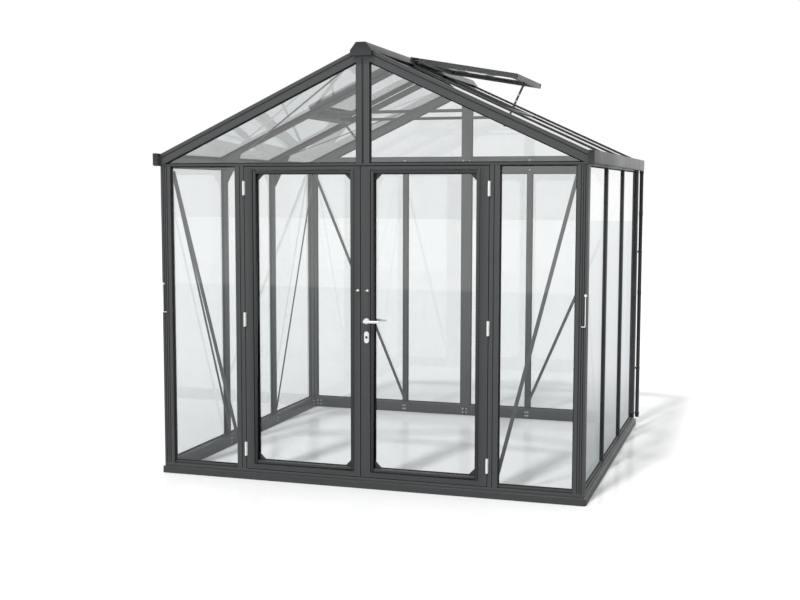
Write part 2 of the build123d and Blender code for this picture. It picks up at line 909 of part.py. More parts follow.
def hinge_halves(x, turn):
    third = hinge_height / 3
    plate_edge = hinge_plate_reach
    fixed = []
    moving = []
    for centre in hinge_heights:
        foot = centre - hinge_height / 2
        lower = knuckle(x, foot, foot + third - knuckle_gap)
        upper = knuckle(x, foot + 2 * third + knuckle_gap, foot + hinge_height)
        middle = knuckle(x, foot + third, foot + 2 * third)
        far = x + turn * plate_edge
        near = x - turn * plate_edge
        post_plate = block(
            x + turn * (hinge_gap / 2 + 1), far, front - hinge_plate, front,
            foot, foot + hinge_height)
        leaf_plate = block(
            x - turn * (hinge_gap / 2 + 1), near, front - hinge_plate, front,
            foot, foot + hinge_height)
        web0, web1 = (x + turn * place for place in hinge_web)
        low_web = block(
            web0, web1, hinge_y, front, foot, foot + third - knuckle_gap)
        top_web = block(
            web0, web1, hinge_y, front,
            foot + 2 * third + knuckle_gap, foot + hinge_height)
        leaf_web = block(
            2 * x - web0, 2 * x - web1, hinge_y, front, foot + third, foot + 2 * third)
        bore = rod(pin_radius + pin_clearance, hinge_height, (0, 0, 1), (x, hinge_y, foot))
        fixed.append(post_plate + lower + low_web + upper + top_web - bore)
        moving.append(leaf_plate + middle + leaf_web - bore)
        fixed.append(hinge_pin(x, foot, third))
    return fixed, moving


def hinge_pin(x, foot, third):
    seat = pin_radius + pin_clearance
    shank = rod(pin_radius, hinge_height, (0, 0, 1), (x, hinge_y, foot))
    for start in (foot, foot + 2 * third + knuckle_gap):
        shank += rod(seat, third - knuckle_gap, (0, 0, 1), (x, hinge_y, start))
    for end in (foot + hinge_height, foot - 2):
        shank += rod(knuckle_radius - 1, 2, (0, 0, 1), (x, hinge_y, end))
    return shank


def hook_eye(x):
    centre = (x, front - hinge_stand_off * 2 + hook_plane, eye_height)
    ring = Pos(*centre) * Torus(eye_ring + eye_wire, eye_wire)
    reach = hinge_stand_off * 2 - hook_plane - eye_ring - eye_wire
    stem = rod(eye_wire, reach, (0, -1, 0), (x, front, eye_height))
    washer = rod(eye_washer_radius, eye_washer, (0, -1, 0), (x, front, eye_height))
    return ring + stem + washer


# lock and handle on the right leaf's meeting stile

def slot_through(x0, x1, z, height):
    half_y = bolt_depth / 2 + moving_clearance
    half_z = height / 2 + moving_clearance
    middle = front + leaf_depth / 2
    return block(x0, x1, middle - half_y, middle + half_y, z - half_z, z + half_z)


def lever_handle():
    x = handle_x
    z = handle_height
    back = front + leaf_depth
    shape = rod(spindle_half, leaf_depth + 2 * lever_reach - 4, (0, 1, 0), (x, front - lever_reach + 2, z))
    for y0, y1 in ((front - lever_reach, front), (back, back + lever_reach)):
        shape += rod(neck_radius, y1 - y0, (0, 1, 0), (x, y0, z))
    for y0 in (front - lever_reach, back + lever_reach - lever_thickness):
        half = lever_height / 2
        grip = block(x, x + lever_length - half, y0, y0 + lever_thickness, z - half, z + half)
        grip += rod(half, lever_thickness, (0, 1, 0), (x, y0, z))
        grip += rod(half, lever_thickness, (0, 1, 0), (x + lever_length - half, y0, z))
        shape += grip
    return shape


def lock_trim(y0, direction):
    x = handle_x
    rose = rod(rose_radius, rose_thickness, (0, direction, 0), (x, y0, handle_height))
    rose -= rod(
        neck_radius + moving_clearance, rose_thickness + 2, (0, direction, 0),
        (x, y0 - direction, handle_height))
    half = plate_width / 2
    straight = plate_height / 2 - half
    y1 = y0 + direction * plate_thickness
    plate = block(x - half, x + half, y0, y1, lock_height - straight, lock_height + straight)
    for z in (lock_height - straight, lock_height + straight):
        plate += rod(half, plate_thickness, (0, direction, 0), (x, y0, z))
    plate -= rod(
        plug_radius + moving_clearance, plate_thickness + 2, (0, direction, 0),
        (x, y0 - direction, lock_height))
    return [rose, plate]


def key_plug():
    y0 = front - plate_thickness - 2
    length = leaf_depth / 2 - bolt_depth / 2 - 2 + plate_thickness + 2
    plug = rod(plug_radius, length, (0, 1, 0), (handle_x, y0, lock_height))
    return plug - block(
        handle_x - keyway_width / 2, handle_x + keyway_width / 2, y0 - 1, y0 + 6,
        lock_height - keyway_height / 2, lock_height + keyway_height / 2)


left_frame, left_pane, left_beads = leaf_parts(*left_leaf, stile_face, left_lock_stile_face)
right_frame, right_pane, right_beads = leaf_parts(*right_leaf, right_lock_stile_face, stile_face)

latch_x0 = right_leaf[0] - latch_reach
dead_x0 = right_leaf[0] + 1
middle_y = front + leaf_depth / 2
latch = block(
    latch_x0, latch_x0 + latch_length, middle_y - bolt_depth / 2, middle_y + bolt_depth / 2,
    handle_height - latch_height / 2, handle_height + latch_height / 2)
dead_bolt = block(
    dead_x0, dead_x0 + dead_bolt_length, middle_y - bolt_depth / 2, middle_y + bolt_depth / 2,
    lock_height - dead_bolt_height / 2, lock_height + dead_bolt_height / 2)
lock_stile = right_frame[0]
lock_stile -= slot_through(right_leaf[0] - 1, right_leaf[0] + leaf_wall + 1, handle_height, latch_height)
lock_stile -= slot_through(
    right_leaf[0] - 1, right_leaf[0] + leaf_wall + 1, lock_height, dead_bolt_height)
lock_stile -= rod(
    neck_radius + moving_clearance, leaf_depth + 2, (0, 1, 0),
    (handle_x, front - 1, handle_height))
lock_stile -= rod(
    plug_radius + moving_clearance, leaf_wall + 2, (0, 1, 0), (handle_x, front - 1, lock_height))
right_frame[0] = lock_stile

strike_stile = left_frame[1]
strike_stile -= slot_through(
    left_leaf[1] - leaf_wall - 1, left_leaf[1] + 1, lock_height, dead_bolt_height)


def flush_bolt(z0, knob_z):
    bolt_rod = rod(flush_rod_radius, flush_rod_length, (0, 0, 1), (flush_x, flush_y, z0))
    knob = rod(
        flush_knob_radius, leaf_depth / 2 + flush_knob_reach, (0, 1, 0),
        (flush_x, flush_y, knob_z))
    return bolt_rod + knob


top_rod_z = leaf_top - 1 - flush_rod_length
low_rod_z = leaf_bottom + 1
top_knob_z = top_rod_z + flush_knob_from_end
low_knob_z = low_rod_z + flush_rod_length - flush_knob_from_end
knob_gap = flush_knob_radius + 1
strike_stile -= block(
    flush_x - knob_gap, flush_x + knob_gap, front + leaf_depth - leaf_wall - 1,
    front + leaf_depth + 1, top_knob_z - knob_gap, top_knob_z + knob_gap + flush_rod_throw)
strike_stile -= block(
    flush_x - knob_gap, flush_x + knob_gap, front + leaf_depth - leaf_wall - 1,
    front + leaf_depth + 1, low_knob_z - knob_gap - flush_rod_throw, low_knob_z + knob_gap)
left_frame[1] = strike_stile

right_fixed, right_moving = hinge_halves(hinge_x, 1)
left_fixed, left_moving = hinge_halves(-hinge_x, -1)


# storm hooks, hanging from pins on the front corner posts

hook_pivot_x = half_width - hook_inset
hook_y = front - hook_plane
hook_length = 2 * hinge_x - eye_place - hook_pivot_x
hook_height = eye_height + hook_rise


def hook_pin():
    x = hook_pivot_x
    pin = rod(hook_pin_radius, hook_plane + 6, (0, -1, 0), (x, front, hook_height))
    foot = rod(hook_foot_radius, hook_plane - hook_wire - 1, (0, -1, 0), (x, front, hook_height))
    head = rod(hook_head_radius, 2.5, (0, -1, 0), (x, front - hook_plane - 4, hook_height))
    return pin + foot + head


def storm_hook():
    x = hook_pivot_x
    plane_turn = Rot(90, 0, 0)
    ring = Pos(x, hook_y, hook_height) * plane_turn * Torus(hook_ring, hook_wire - 0.5)
    low = hook_height - hook_length
    arm = rod(hook_wire, hook_length - hook_ring, (0, 0, 1), (x, hook_y, low))
    bend = Pos(x, hook_y, low) * Sphere(hook_wire)
    tip = rod(hook_wire, hook_drop, (-1, 0, 0), (x, hook_y, low))
    return ring + arm + bend + tip


# roof vents, drawn shut on the right-hand slope

def off_slope(along_slope, off):
    x = along_slope * cos(slope) + off * sin(slope)
    z = roof_peak - along_slope * sin(slope) + off * cos(slope)
    return x, z


def slope_block(u0, u1, n0, n1, y0, y1):
    corners = [off_slope(u0, n0), off_slope(u1, n0), off_slope(u1, n1), off_slope(u0, n1)]
    return cross(corners, y0, y1)


vent_y = bay_pitch / 2 - vent_side_gap
vent_top = vent_lift + vent_thickness
vent_end = vent_hinge_along + vent_length
axis_x, axis_z = off_slope(vent_hinge_along, vent_hinge_off)
stay_x, stay_z = off_slope(
    vent_hinge_along + stay_pivot_along, vent_hinge_off + stay_pivot_off)
lug_places = (-vent_y + vent_lug_from_end, vent_y - vent_lug_from_end)


def vent_tube(u0, u1, y0, y1, wall_u, wall_y):
    tube = slope_block(u0, u1, vent_lift, vent_top, y0, y1)
    return tube - slope_block(
        u0 + wall_u, u1 - wall_u, vent_lift + vent_wall, vent_top - vent_wall,
        y0 + wall_y, y1 - wall_y)


def vent_frame():
    u0 = vent_flange_end
    frame = []
    for y in (-vent_y, vent_y - vent_rail):
        frame.append(vent_tube(u0, vent_end, y, y + vent_rail, -1, vent_wall))
    inner = vent_y - vent_rail
    frame.append(vent_tube(u0, u0 + vent_rail, -inner, inner, vent_wall, -1))
    bottom = vent_tube(vent_end - vent_bottom_rail, vent_end, -inner, inner, vent_wall, -1)
    lug_gap = stay_thickness / 2 + moving_clearance
    for y in (-lug_gap - stay_lug, lug_gap):
        u = vent_hinge_along + stay_pivot_along
        n = vent_hinge_off + stay_pivot_off
        lug = slope_block(
            u - stay_lug_half, u + stay_lug_half, n - stay_lug_drop, vent_lift, y, y + stay_lug)
        bottom += lug
    pin_span = 2 * (lug_gap + stay_lug)
    bottom += rod(stay_pin_radius, pin_span, (0, 1, 0), (stay_x, -pin_span / 2, stay_z))
    frame.append(bottom)
    flange = slope_block(
        vent_hinge_along, u0, vent_top - vent_flange, vent_top, -vent_y, vent_y)
    for place in lug_places:
        half = vent_lug_width / 2 + moving_clearance
        flange -= slope_block(
            vent_hinge_along - lug_notch[0], vent_hinge_along + lug_notch[1],
            vent_lift, vent_top + 1,
            place - half, place + half)
    frame.append(flange)
    barrel_runs = [
        (-vent_y, lug_places[0] - vent_lug_width / 2 - moving_clearance),
        (lug_places[0] + vent_lug_width / 2 + moving_clearance,
         lug_places[1] - vent_lug_width / 2 - moving_clearance),
        (lug_places[1] + vent_lug_width / 2 + moving_clearance, vent_y),
    ]
    for y0, y1 in barrel_runs:
        barrel = rod(vent_barrel_radius, y1 - y0, (0, 1, 0), (axis_x, y0, axis_z))
        barrel -= rod(
            vent_pin_radius + pin_clearance, y1 - y0 + 2, (0, 1, 0), (axis_x, y0 - 1, axis_z))
        frame[-1] = frame[-1] - rod(
            vent_pin_radius + pin_clearance, y1 - y0 + 2, (0, 1, 0), (axis_x, y0 - 1, axis_z))
        frame[-1] = frame[-1] + barrel
    return frame


def vent_lugs():
    pin = rod(vent_pin_radius, 2 * vent_y, (0, 1, 0), (axis_x, -vent_y, axis_z))
    lugs = pin
    cap_top = roof_peak + cap_rise
    for place in lug_places:
        half = vent_lug_width / 2
        base = block(
            cap_flat_half - lug_foot_length, cap_flat_half, place - half, place + half,
            cap_top, cap_top + lug_foot_height)
        arm = block(
            cap_flat_half - 1, axis_x, place - half, place + half,
            cap_top, max(axis_z + vent_pin_radius, cap_top + lug_foot_height))
        collar = rod(vent_barrel_radius, vent_lug_width, (0, 1, 0), (axis_x, place - half, axis_z))
        lugs += base + arm + collar
    return lugs


def vent_stay():
    start = (stay_x, stay_z)
    turn = slope + radians(stay_tilt)
    run = stay_length - stay_width
    end = (start[0] + run * cos(turn), start[1] - run * sin(turn))
    half = stay_thickness / 2
    bar = cross(strip(start, end, stay_width), -half, half)
    for x, z in (start, end):
        bar += rod(stay_width / 2, stay_thickness, (0, 1, 0), (x, -half, z))
    bar -= rod(
        stay_pin_radius + pin_clearance, stay_thickness + 2, (0, 1, 0),
        (start[0], -half - 1, start[1]))
    for share in stay_holes:
        x = start[0] + share * (end[0] - start[0])
        z = start[1] + share * (end[1] - start[1])
        bar -= rod(peg_radius + 1, stay_thickness + 2, (0, 1, 0), (x, -half - 1, z))
    knob = rod(
        stay_knob_radius, stay_knob_width, (0, 1, 0), (end[0], -stay_knob_width / 2, end[1]))
    return bar + knob


def stay_peg():
    x, z = off_slope(peg_along, peg_off)
    y0 = stay_thickness / 2 + moving_clearance
    peg = rod(peg_radius, peg_length, (0, 1, 0), (x, y0, z))
    y1 = y0 + peg_length - peg_arm_thickness
    arm = slope_block(
        peg_along - peg_arm_half, vent_sill_place, peg_off - peg_arm_half, peg_off + peg_arm_half,
        y1, y0 + peg_length)
    foot = slope_block(
        vent_sill_place - peg_foot_thickness, vent_sill_place,
        peg_off - peg_foot_half, peg_off + peg_foot_half, y1, y1 + peg_foot_length)
    return peg + arm + foot


def opened(pieces):
    hinge = Axis((axis_x, 0, axis_z), (0, 1, 0))
    return [piece.rotate(hinge, -vent_open_angle) for piece in pieces]


vent_frame_shut = vent_frame()
vent_pane_edge = vent_y - vent_rail
vent_pane_shut = slope_block(
    vent_flange_end + vent_rail, vent_end - vent_bottom_rail, vent_glass_off,
    vent_glass_off + glass_thickness, -vent_pane_edge, vent_pane_edge)
stay_shut = vent_stay()

os.makedirs("parts", exist_ok=True)

save("base_rail_front", front_base)
save("base_rail_rear", rear_base)
save("base_rails_side", left_base, right_base)
save("corner_posts_front", front_corner, swap_sides(front_corner))
save("corner_posts_rear", rear_corner, swap_sides(rear_corner))
save("door_posts", door_post(), swap_sides(door_post()))
save("front_transom", front_transom)
save("rear_transom", rear_transom)
save("front_gable_post", front_gable_post)
save("rear_centre_post", rear_centre_post, rear_gable_post)
save("rear_mullions", rear_mullion, swap_sides(rear_mullion))
save("side_mullions", *right_side_mullions, *[swap_sides(bar) for bar in right_side_mullions])
save("eave_beams", right_eave_beam, swap_sides(right_eave_beam))
front_rafter = rafter(front, front + frame_depth)
rear_rafter = swap_ends(front_rafter)
save("front_rafters", front_rafter, swap_sides(front_rafter))
save("rear_rafters", rear_rafter, swap_sides(rear_rafter))
roof_bars = [roof_bar(place) for place in bar_places]
save("roof_bars", *roof_bars, *[swap_sides(bar) for bar in roof_bars])
save("ridge_beam", ridge_beam)
save("ridge_cap", ridge_cap)
save("ridge_end_caps", ridge_end_cap, swap_ends(ridge_end_cap))
save("gutters", right_gutter, swap_sides(gutter()))
gutter_ends = [gutter_end(), swap_ends(gutter_end())]
save("gutter_end_caps", *gutter_ends, *[swap_sides(end) for end in gutter_ends])
save("downpipes", *[downpipe(row, foot) for row, foot in zip(pipe_rows, pipe_feet)])
save("vent_sills", vent_sill, swap_sides(vent_sill))
save("collar_ties", collar_tie, rear_tie)
save("knee_gussets", *knees, *[swap_sides(knee) for knee in knees])
save(
    "wall_braces", front_brace, swap_sides(front_brace), rear_brace, swap_sides(rear_brace),
    side_brace, swap_ends(side_brace), swap_sides(side_brace), swap_sides(swap_ends(side_brace)))
save("roof_braces", front_roof_brace, rear_roof_brace)
save("panel_sills", *sill_pieces, *[swap_sides(piece) for piece in sill_pieces])
save("front_glass", *front_panes, *[swap_sides(pane) for pane in front_panes])
save("rear_glass", *rear_panes, *[swap_sides(pane) for pane in rear_panes])
save("side_glass_left", *[swap_sides(pane) for pane in side_panes])
save("side_glass_right", *side_panes)
save("roof_glass_left", *[swap_sides(pane) for pane in roof_panes])
save("roof_glass_right", *roof_panes)
save("frame_bolts", *bolts, *[swap_sides(piece) for piece in bolts])
save(
    "front_fittings", *right_fixed, *left_fixed, hook_pin(), swap_sides(hook_pin()))
save("vent_fittings", vent_lugs(), swap_sides(vent_lugs()), stay_peg(), swap_sides(stay_peg()))

save("left_door_frame", *left_frame)
save("left_door_beads", *left_beads)
save("left_door_glass", left_pane)
save("left_door_fittings", *left_moving, hook_eye(-eye_place))
save("top_flush_bolt", flush_bolt(top_rod_z, top_knob_z))
save("bottom_flush_bolt", flush_bolt(low_rod_z, low_knob_z))

save("right_door_frame", *right_frame)
save("right_door_beads", *right_beads)
save("right_door_glass", right_pane)
save("right_door_fittings", *right_moving, hook_eye(eye_place))
save("lock_trim", *lock_trim(front, -1), *lock_trim(front + leaf_depth, 1))
save("lever_handle", lever_handle())
save("latch_bolt", latch)
save("dead_bolt", dead_bolt)
save("key_plug", key_plug())

save("right_vent_frame", *opened(vent_frame_shut))
save("right_vent_glass", *opened([vent_pane_shut]))
save("right_vent_stay", *opened([stay_shut]))
save("left_vent_frame", *[swap_sides(piece) for piece in vent_frame_shut])
save("left_vent_glass", swap_sides(vent_pane_shut))
save("left_vent_stay", swap_sides(stay_shut))

save("right_storm_hook", storm_hook())
save("left_storm_hook", swap_sides(storm_hook()))
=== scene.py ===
import json
import math
import bmesh
import bpy
from mathutils import Matrix, Vector

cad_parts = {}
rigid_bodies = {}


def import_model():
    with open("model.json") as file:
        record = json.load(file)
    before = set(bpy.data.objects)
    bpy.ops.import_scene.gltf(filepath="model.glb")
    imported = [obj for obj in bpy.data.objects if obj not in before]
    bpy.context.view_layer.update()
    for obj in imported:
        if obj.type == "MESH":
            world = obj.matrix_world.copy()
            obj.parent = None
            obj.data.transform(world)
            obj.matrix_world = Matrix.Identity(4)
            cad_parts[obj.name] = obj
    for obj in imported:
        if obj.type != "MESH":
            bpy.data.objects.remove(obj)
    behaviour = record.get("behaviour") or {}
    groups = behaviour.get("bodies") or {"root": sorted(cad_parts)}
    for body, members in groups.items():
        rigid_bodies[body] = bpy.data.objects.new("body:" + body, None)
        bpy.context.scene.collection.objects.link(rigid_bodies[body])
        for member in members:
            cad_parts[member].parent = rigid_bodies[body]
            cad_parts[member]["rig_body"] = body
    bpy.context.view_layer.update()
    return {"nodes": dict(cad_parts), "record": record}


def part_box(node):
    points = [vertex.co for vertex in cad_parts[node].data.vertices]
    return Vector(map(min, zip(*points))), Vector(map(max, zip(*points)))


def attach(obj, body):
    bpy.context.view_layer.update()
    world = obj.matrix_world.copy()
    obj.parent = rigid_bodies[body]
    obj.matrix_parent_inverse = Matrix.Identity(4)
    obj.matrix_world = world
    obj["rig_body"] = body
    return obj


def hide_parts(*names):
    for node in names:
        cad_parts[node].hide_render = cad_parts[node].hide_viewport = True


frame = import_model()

# Walk-in glasshouse with a gable roof, two doors and roof vents. Metres, Z up.

scene = bpy.context.scene
nodes = frame["nodes"]
bodyOf = {name: node["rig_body"] for name, node in nodes.items()}
mm = 0.001
print("scene: frame loaded,", len(nodes), "nodes")


# Small helpers.

def linearColour(hexCode):
    # sRGB hex to the linear values that the shaders work in
    parts = [int(hexCode[i:i + 2], 16) / 255 for i in (1, 3, 5)]
    low = [value / 12.92 for value in parts]
    high = [((value + 0.055) / 1.055) ** 2.4 for value in parts]
    return [a if value <= 0.04045 else b for value, a, b in zip(parts, low, high)] + [1.0]


def addNode(tree, kind, settings=None, links=None):
    node = tree.nodes.new(kind)
    for name, value in (settings or {}).items():
        if isinstance(name, int) or name in node.inputs:
            node.inputs[name].default_value = value
        else:
            setattr(node, name, value)
    for name, source in (links or {}).items():
        tree.links.new(source, node.inputs[name])
    return node


def newMaterial(name):
    material = bpy.data.materials.new(name)
    material.use_nodes = True
    material.node_tree.nodes.clear()
    return material, material.node_tree


def objectPlace(tree):
    return addNode(tree, "ShaderNodeTexCoord").outputs["Object"]


def mixedColour(tree, factor, first, second):
    # blends two colours, each a hex code or another node's output
    mix = addNode(tree, "ShaderNodeMix", {"data_type": "RGBA"}, {"Factor": factor})
    for socket, colour in ((6, first), (7, second)):
        if isinstance(colour, str):
            mix.inputs[socket].default_value = linearColour(colour)
        else:
            tree.links.new(colour, mix.inputs[socket])
    return mix.outputs[2]


# Finishes.

# Powder-coated aluminium, anthracite: a baked polyester skin, so it is not metallic to the eye.
# It has a satin sheen, a fine orange peel and a little dust on faces that look up.
anthracite = {
    # the colour after dust is a painted highlight laid on the arrises
    "colour": "#2b2c2d", "lighter": "#343536", "dust": "#6c6a66", "paintedEdgeHighlight": "#4d4e4f",
    "roughness": (0.3, 0.42), "peelMm": 5.0, "peelHeight": 0.00012, "mottleMm": 420.0,
}


def powderCoat(name, finish):
    material, tree = newMaterial(name)
    place = objectPlace(tree)
    mottle = addNode(tree, "ShaderNodeTexNoise",
                     {"Scale": 1000 / finish["mottleMm"], "Detail": 5.0, "Roughness": 0.6},
                     {"Vector": place})
    # real orange peel is 1 to 2 mm across, too fine to show, so it is drawn at 5 mm
    peel = addNode(tree, "ShaderNodeTexNoise",
                   {"Scale": 1000 / finish["peelMm"], "Detail": 2.0}, {"Vector": place})
    base = mixedColour(tree, mottle.outputs["Fac"], finish["colour"], finish["lighter"])
    geometry = addNode(tree, "ShaderNodeNewGeometry")
    # painted highlight: the arrises of the profiles are painted lighter, where gloss would catch
    # them
    edge = addNode(tree, "ShaderNodeMapRange",
                   {"From Min": 0.52, "From Max": 0.62, "To Min": 0.0, "To Max": 0.5},
                   {"Value": geometry.outputs["Pointiness"]})
    paintedEdgeHighlight = mixedColour(tree, edge.outputs["Result"], base, finish["paintedEdgeHighlight"])
    facing = addNode(tree, "ShaderNodeSeparateXYZ", None, {"Vector": geometry.outputs["Normal"]})
    upward = addNode(tree, "ShaderNodeMapRange",
                     {"From Min": 0.55, "From Max": 1.0, "To Min": 0.0, "To Max": 0.3},
                     {"Value": facing.outputs["Z"]})
    speckle = addNode(tree, "ShaderNodeTexNoise", {"Scale": 60.0, "Detail": 6.0}, {"Vector": place})
    dusty = addNode(tree, "ShaderNodeMath", {"operation": "MULTIPLY"},
                    {0: upward.outputs["Result"], 1: speckle.outputs["Fac"]})
    colour = mixedColour(tree, dusty.outputs[0], paintedEdgeHighlight, finish["dust"])
    low, high = finish["roughness"]
    rough = addNode(tree, "ShaderNodeMapRange",
                    {"From Min": 0.3, "From Max": 0.7, "To Min": low, "To Max": high},
                    {"Value": mottle.outputs["Fac"]})
    bump = addNode(tree, "ShaderNodeBump", {"Strength": 0.5, "Distance": finish["peelHeight"]},
                   {"Height": peel.outputs["Fac"]})
    shader = addNode(tree, "ShaderNodeBsdfPrincipled", None,
                     {"Base Color": colour, "Roughness": rough.outputs["Result"],
                      "Normal": bump.outputs["Normal"]})
    addNode(tree, "ShaderNodeOutputMaterial", None, {"Surface": shader.outputs[0]})
    return material


# Toughened soda-lime glass: clear, with a faint cool tint from the two faces of each pane.
# It mirrors more at a low angle, and a thin dried film takes a little of its gloss in patches.
paneGlass = {"clear": "#f9fafa", "filmed": "#f7f8f8", "gloss": (0.145, 0.95),
             "steepness": 5.0, "fullAt": 0.5, "dropMm": 90.0, "runMm": 700.0}
roofGlass = {"clear": "#f3f4f4", "filmed": "#eff0f0", "gloss": (0.15, 0.9),
             "steepness": 3.6, "fullAt": 1.0, "dropMm": 80.0, "runMm": 500.0}


def clearGlass(name, finish):
    material, tree = newMaterial(name)
    place = objectPlace(tree)
    stretched = addNode(tree, "ShaderNodeMapping", {"Scale": (1.0, 1.0, 0.22)}, {"Vector": place})
    runs = addNode(tree, "ShaderNodeTexNoise",
                   {"Scale": 1000 / finish["runMm"], "Detail": 6.0, "Roughness": 0.65},
                   {"Vector": stretched.outputs["Vector"]})
    drops = addNode(tree, "ShaderNodeTexNoise",
                    {"Scale": 1000 / finish["dropMm"], "Detail": 3.0}, {"Vector": place})
    film = addNode(tree, "ShaderNodeMath", {"operation": "MULTIPLY"},
                   {0: runs.outputs["Fac"], 1: drops.outputs["Fac"]})
    spread = addNode(tree, "ShaderNodeMapRange", {"From Min": 0.1, "From Max": 0.45},
                     {"Value": film.outputs[0]})
    tint = mixedColour(tree, spread.outputs["Result"], finish["clear"], finish["filmed"])
    rough = addNode(tree, "ShaderNodeMapRange", {"To Min": 0.0, "To Max": 0.04},
                    {"Value": spread.outputs["Result"]})
    through = addNode(tree, "ShaderNodeBsdfTransparent", None, {"Color": tint})
    gloss = addNode(tree, "ShaderNodeBsdfGlossy", {"Color": (1, 1, 1, 1)},
                    {"Roughness": rough.outputs["Result"]})
    # the face that looks out carries the gloss of both faces of the pane
    facing = addNode(tree, "ShaderNodeLayerWeight", {"Blend": 0.5})
    steep = addNode(tree, "ShaderNodeMath", {"operation": "POWER", 1: finish["steepness"]},
                    {0: facing.outputs["Facing"]})
    straight, glancing = finish["gloss"]
    share = addNode(tree, "ShaderNodeMapRange",
                    {"From Max": finish["fullAt"], "To Min": straight, "To Max": glancing},
                    {"Value": steep.outputs[0]})
    geometry = addNode(tree, "ShaderNodeNewGeometry")
    outer = addNode(tree, "ShaderNodeMath", {"operation": "SUBTRACT", 0: 1.0},
                    {1: geometry.outputs["Backfacing"]})
    mirrored = addNode(tree, "ShaderNodeMath", {"operation": "MULTIPLY"},
                       {0: share.outputs["Result"], 1: outer.outputs[0]})
    # daylight falls through the panes without loss, so the floor inside stays bright
    path = addNode(tree, "ShaderNodeLightPath")
    soft = addNode(tree, "ShaderNodeMath", {"operation": "MAXIMUM"},
                   {0: path.outputs["Is Shadow Ray"], 1: path.outputs["Is Diffuse Ray"]})
    direct = addNode(tree, "ShaderNodeMath", {"operation": "SUBTRACT", 0: 1.0},
                     {1: soft.outputs[0]})
    factor = addNode(tree, "ShaderNodeMath", {"operation": "MULTIPLY"},
                     {0: mirrored.outputs[0], 1: direct.outputs[0]})
    shader = addNode(tree, "ShaderNodeMixShader", None,
                     {0: factor.outputs[0], 1: through.outputs[0], 2: gloss.outputs[0]})
    addNode(tree, "ShaderNodeOutputMaterial", None, {"Surface": shader.outputs[0]})
    return material


# Plain finishes of one kind of shader: metals and mouldings with grain, tone and bump of their own.
smallFinishes = {
    # white-lacquered zinc castings: glossy skin, faint casting ripple
    "whiteLacqueredZinc": {"colour": "#e6e6e4", "other": "#d4d4d1", "metallic": 0.0,
                           "roughness": (0.22, 0.36), "grainMm": 6.0, "height": 0.0001},
    # satin-brushed silver anodising: soft streaks
    "satinSilver": {"colour": "#e9eaeb", "other": "#dadbdc", "metallic": 0.25,
                    "roughness": (0.26, 0.4), "grainMm": 4.0, "height": 0.00005},
    # bright zinc-plated steel: slightly clouded plating
    "zincPlate": {"colour": "#d3d5d7", "other": "#aeb1b5", "metallic": 1.0,
                  "roughness": (0.24, 0.42), "grainMm": 5.0, "height": 0.00005},
    # brass of the lock plug, browned with age
    "platedBrass": {"colour": "#3b3730", "other": "#5a5242", "metallic": 0.6,
                    "roughness": (0.36, 0.5), "grainMm": 3.0, "height": 0.00004},
    # moulded ABS, dyed through: fine spark-eroded grain, dull sheen
    "mouldedAbs": {"colour": "#242526", "other": "#2d2e30", "metallic": 0.0,
                   "roughness": (0.46, 0.6), "grainMm": 5.0, "height": 0.00015},
    # EPDM rubber of the glazing strips: matt, a little bloom
    "glazingRubber": {"colour": "#161616", "other": "#222324", "metallic": 0.0,
                      "roughness": (0.66, 0.82), "grainMm": 8.0, "height": 0.0002},
    # polypropylene brush pile
    "brushPile": {"colour": "#1b1b1c", "other": "#303032", "metallic": 0.0,
                  "roughness": (0.8, 0.95), "grainMm": 3.0, "height": 0.0005},
}


def grainedFinish(name, finish):
    material, tree = newMaterial(name)
    place = objectPlace(tree)
    grain = addNode(tree, "ShaderNodeTexNoise",
                    {"Scale": 1000 / finish["grainMm"], "Detail": 3.0}, {"Vector": place})
    cloud = addNode(tree, "ShaderNodeTexNoise", {"Scale": 14.0, "Detail": 4.0}, {"Vector": place})
    colour = mixedColour(tree, cloud.outputs["Fac"], finish["colour"], finish["other"])
    low, high = finish["roughness"]
    rough = addNode(tree, "ShaderNodeMapRange",
                    {"From Min": 0.3, "From Max": 0.7, "To Min": low, "To Max": high},
                    {"Value": cloud.outputs["Fac"]})
    bump = addNode(tree, "ShaderNodeBump", {"Strength": 0.4, "Distance": finish["height"]},
                   {"Height": grain.outputs["Fac"]})
    shader = addNode(tree, "ShaderNodeBsdfPrincipled", {"Metallic": finish["metallic"]},
                     {"Base Color": colour, "Roughness": rough.outputs["Result"],
                      "Normal": bump.outputs["Normal"]})
    addNode(tree, "ShaderNodeOutputMaterial", None, {"Surface": shader.outputs[0]})
    return material


finishes = {name: grainedFinish(name, finish) for name, finish in smallFinishes.items()}
finishes["powderCoatAnthracite"] = powderCoat("powderCoatAnthracite", anthracite)
finishes["toughenedWallGlass"] = clearGlass("toughenedWallGlass", paneGlass)
finishes["toughenedRoofGlass"] = clearGlass("toughenedRoofGlass", roofGlass)
finishOfSlot = {
    "frame_paint": "powderCoatAnthracite", "wall_glass": "toughenedWallGlass",
    "roof_glass": "toughenedRoofGlass", "zinc_fittings": "whiteLacqueredZinc",
    "satin_silver": "satinSilver", "bolt_steel": "zincPlate", "lock_brass": "platedBrass",
    "dark_plastic": "mouldedAbs",
}
slotOfNode = {row["node"]: row["material_slot"] for row in frame["record"]["subparts"]}
for nodeName, node in nodes.items():
    node.data.materials.clear()
    node.data.materials.append(finishes[finishOfSlot[slotOfNode[nodeName]]])
print("scene: finishes ready,", len(finishes))


# Making pieces.

def pieceFrom(mesh, name, body, finish, replaced=()):
    # turns a bmesh into a finished piece that rides on a body
    data = bpy.data.meshes.new(name)
    mesh.to_mesh(data)
    mesh.free()
    piece = bpy.data.objects.new(name, data)
    scene.collection.objects.link(piece)
    data.materials.append(finishes[finish])
    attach(piece, body)
    for nodeName in replaced:
        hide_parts(nodeName)
    return piece


# how CAD triangles are joined, and which edges count as arrises (angles in degrees)
meshRules = {
    "mergeDistance": 0.01 * mm, "flatAngle": 1.5, "arrisLow": 40, "arrisHigh": 140,
    "arrisShortest": 2.6, "smoothTurn": 35.0,
}


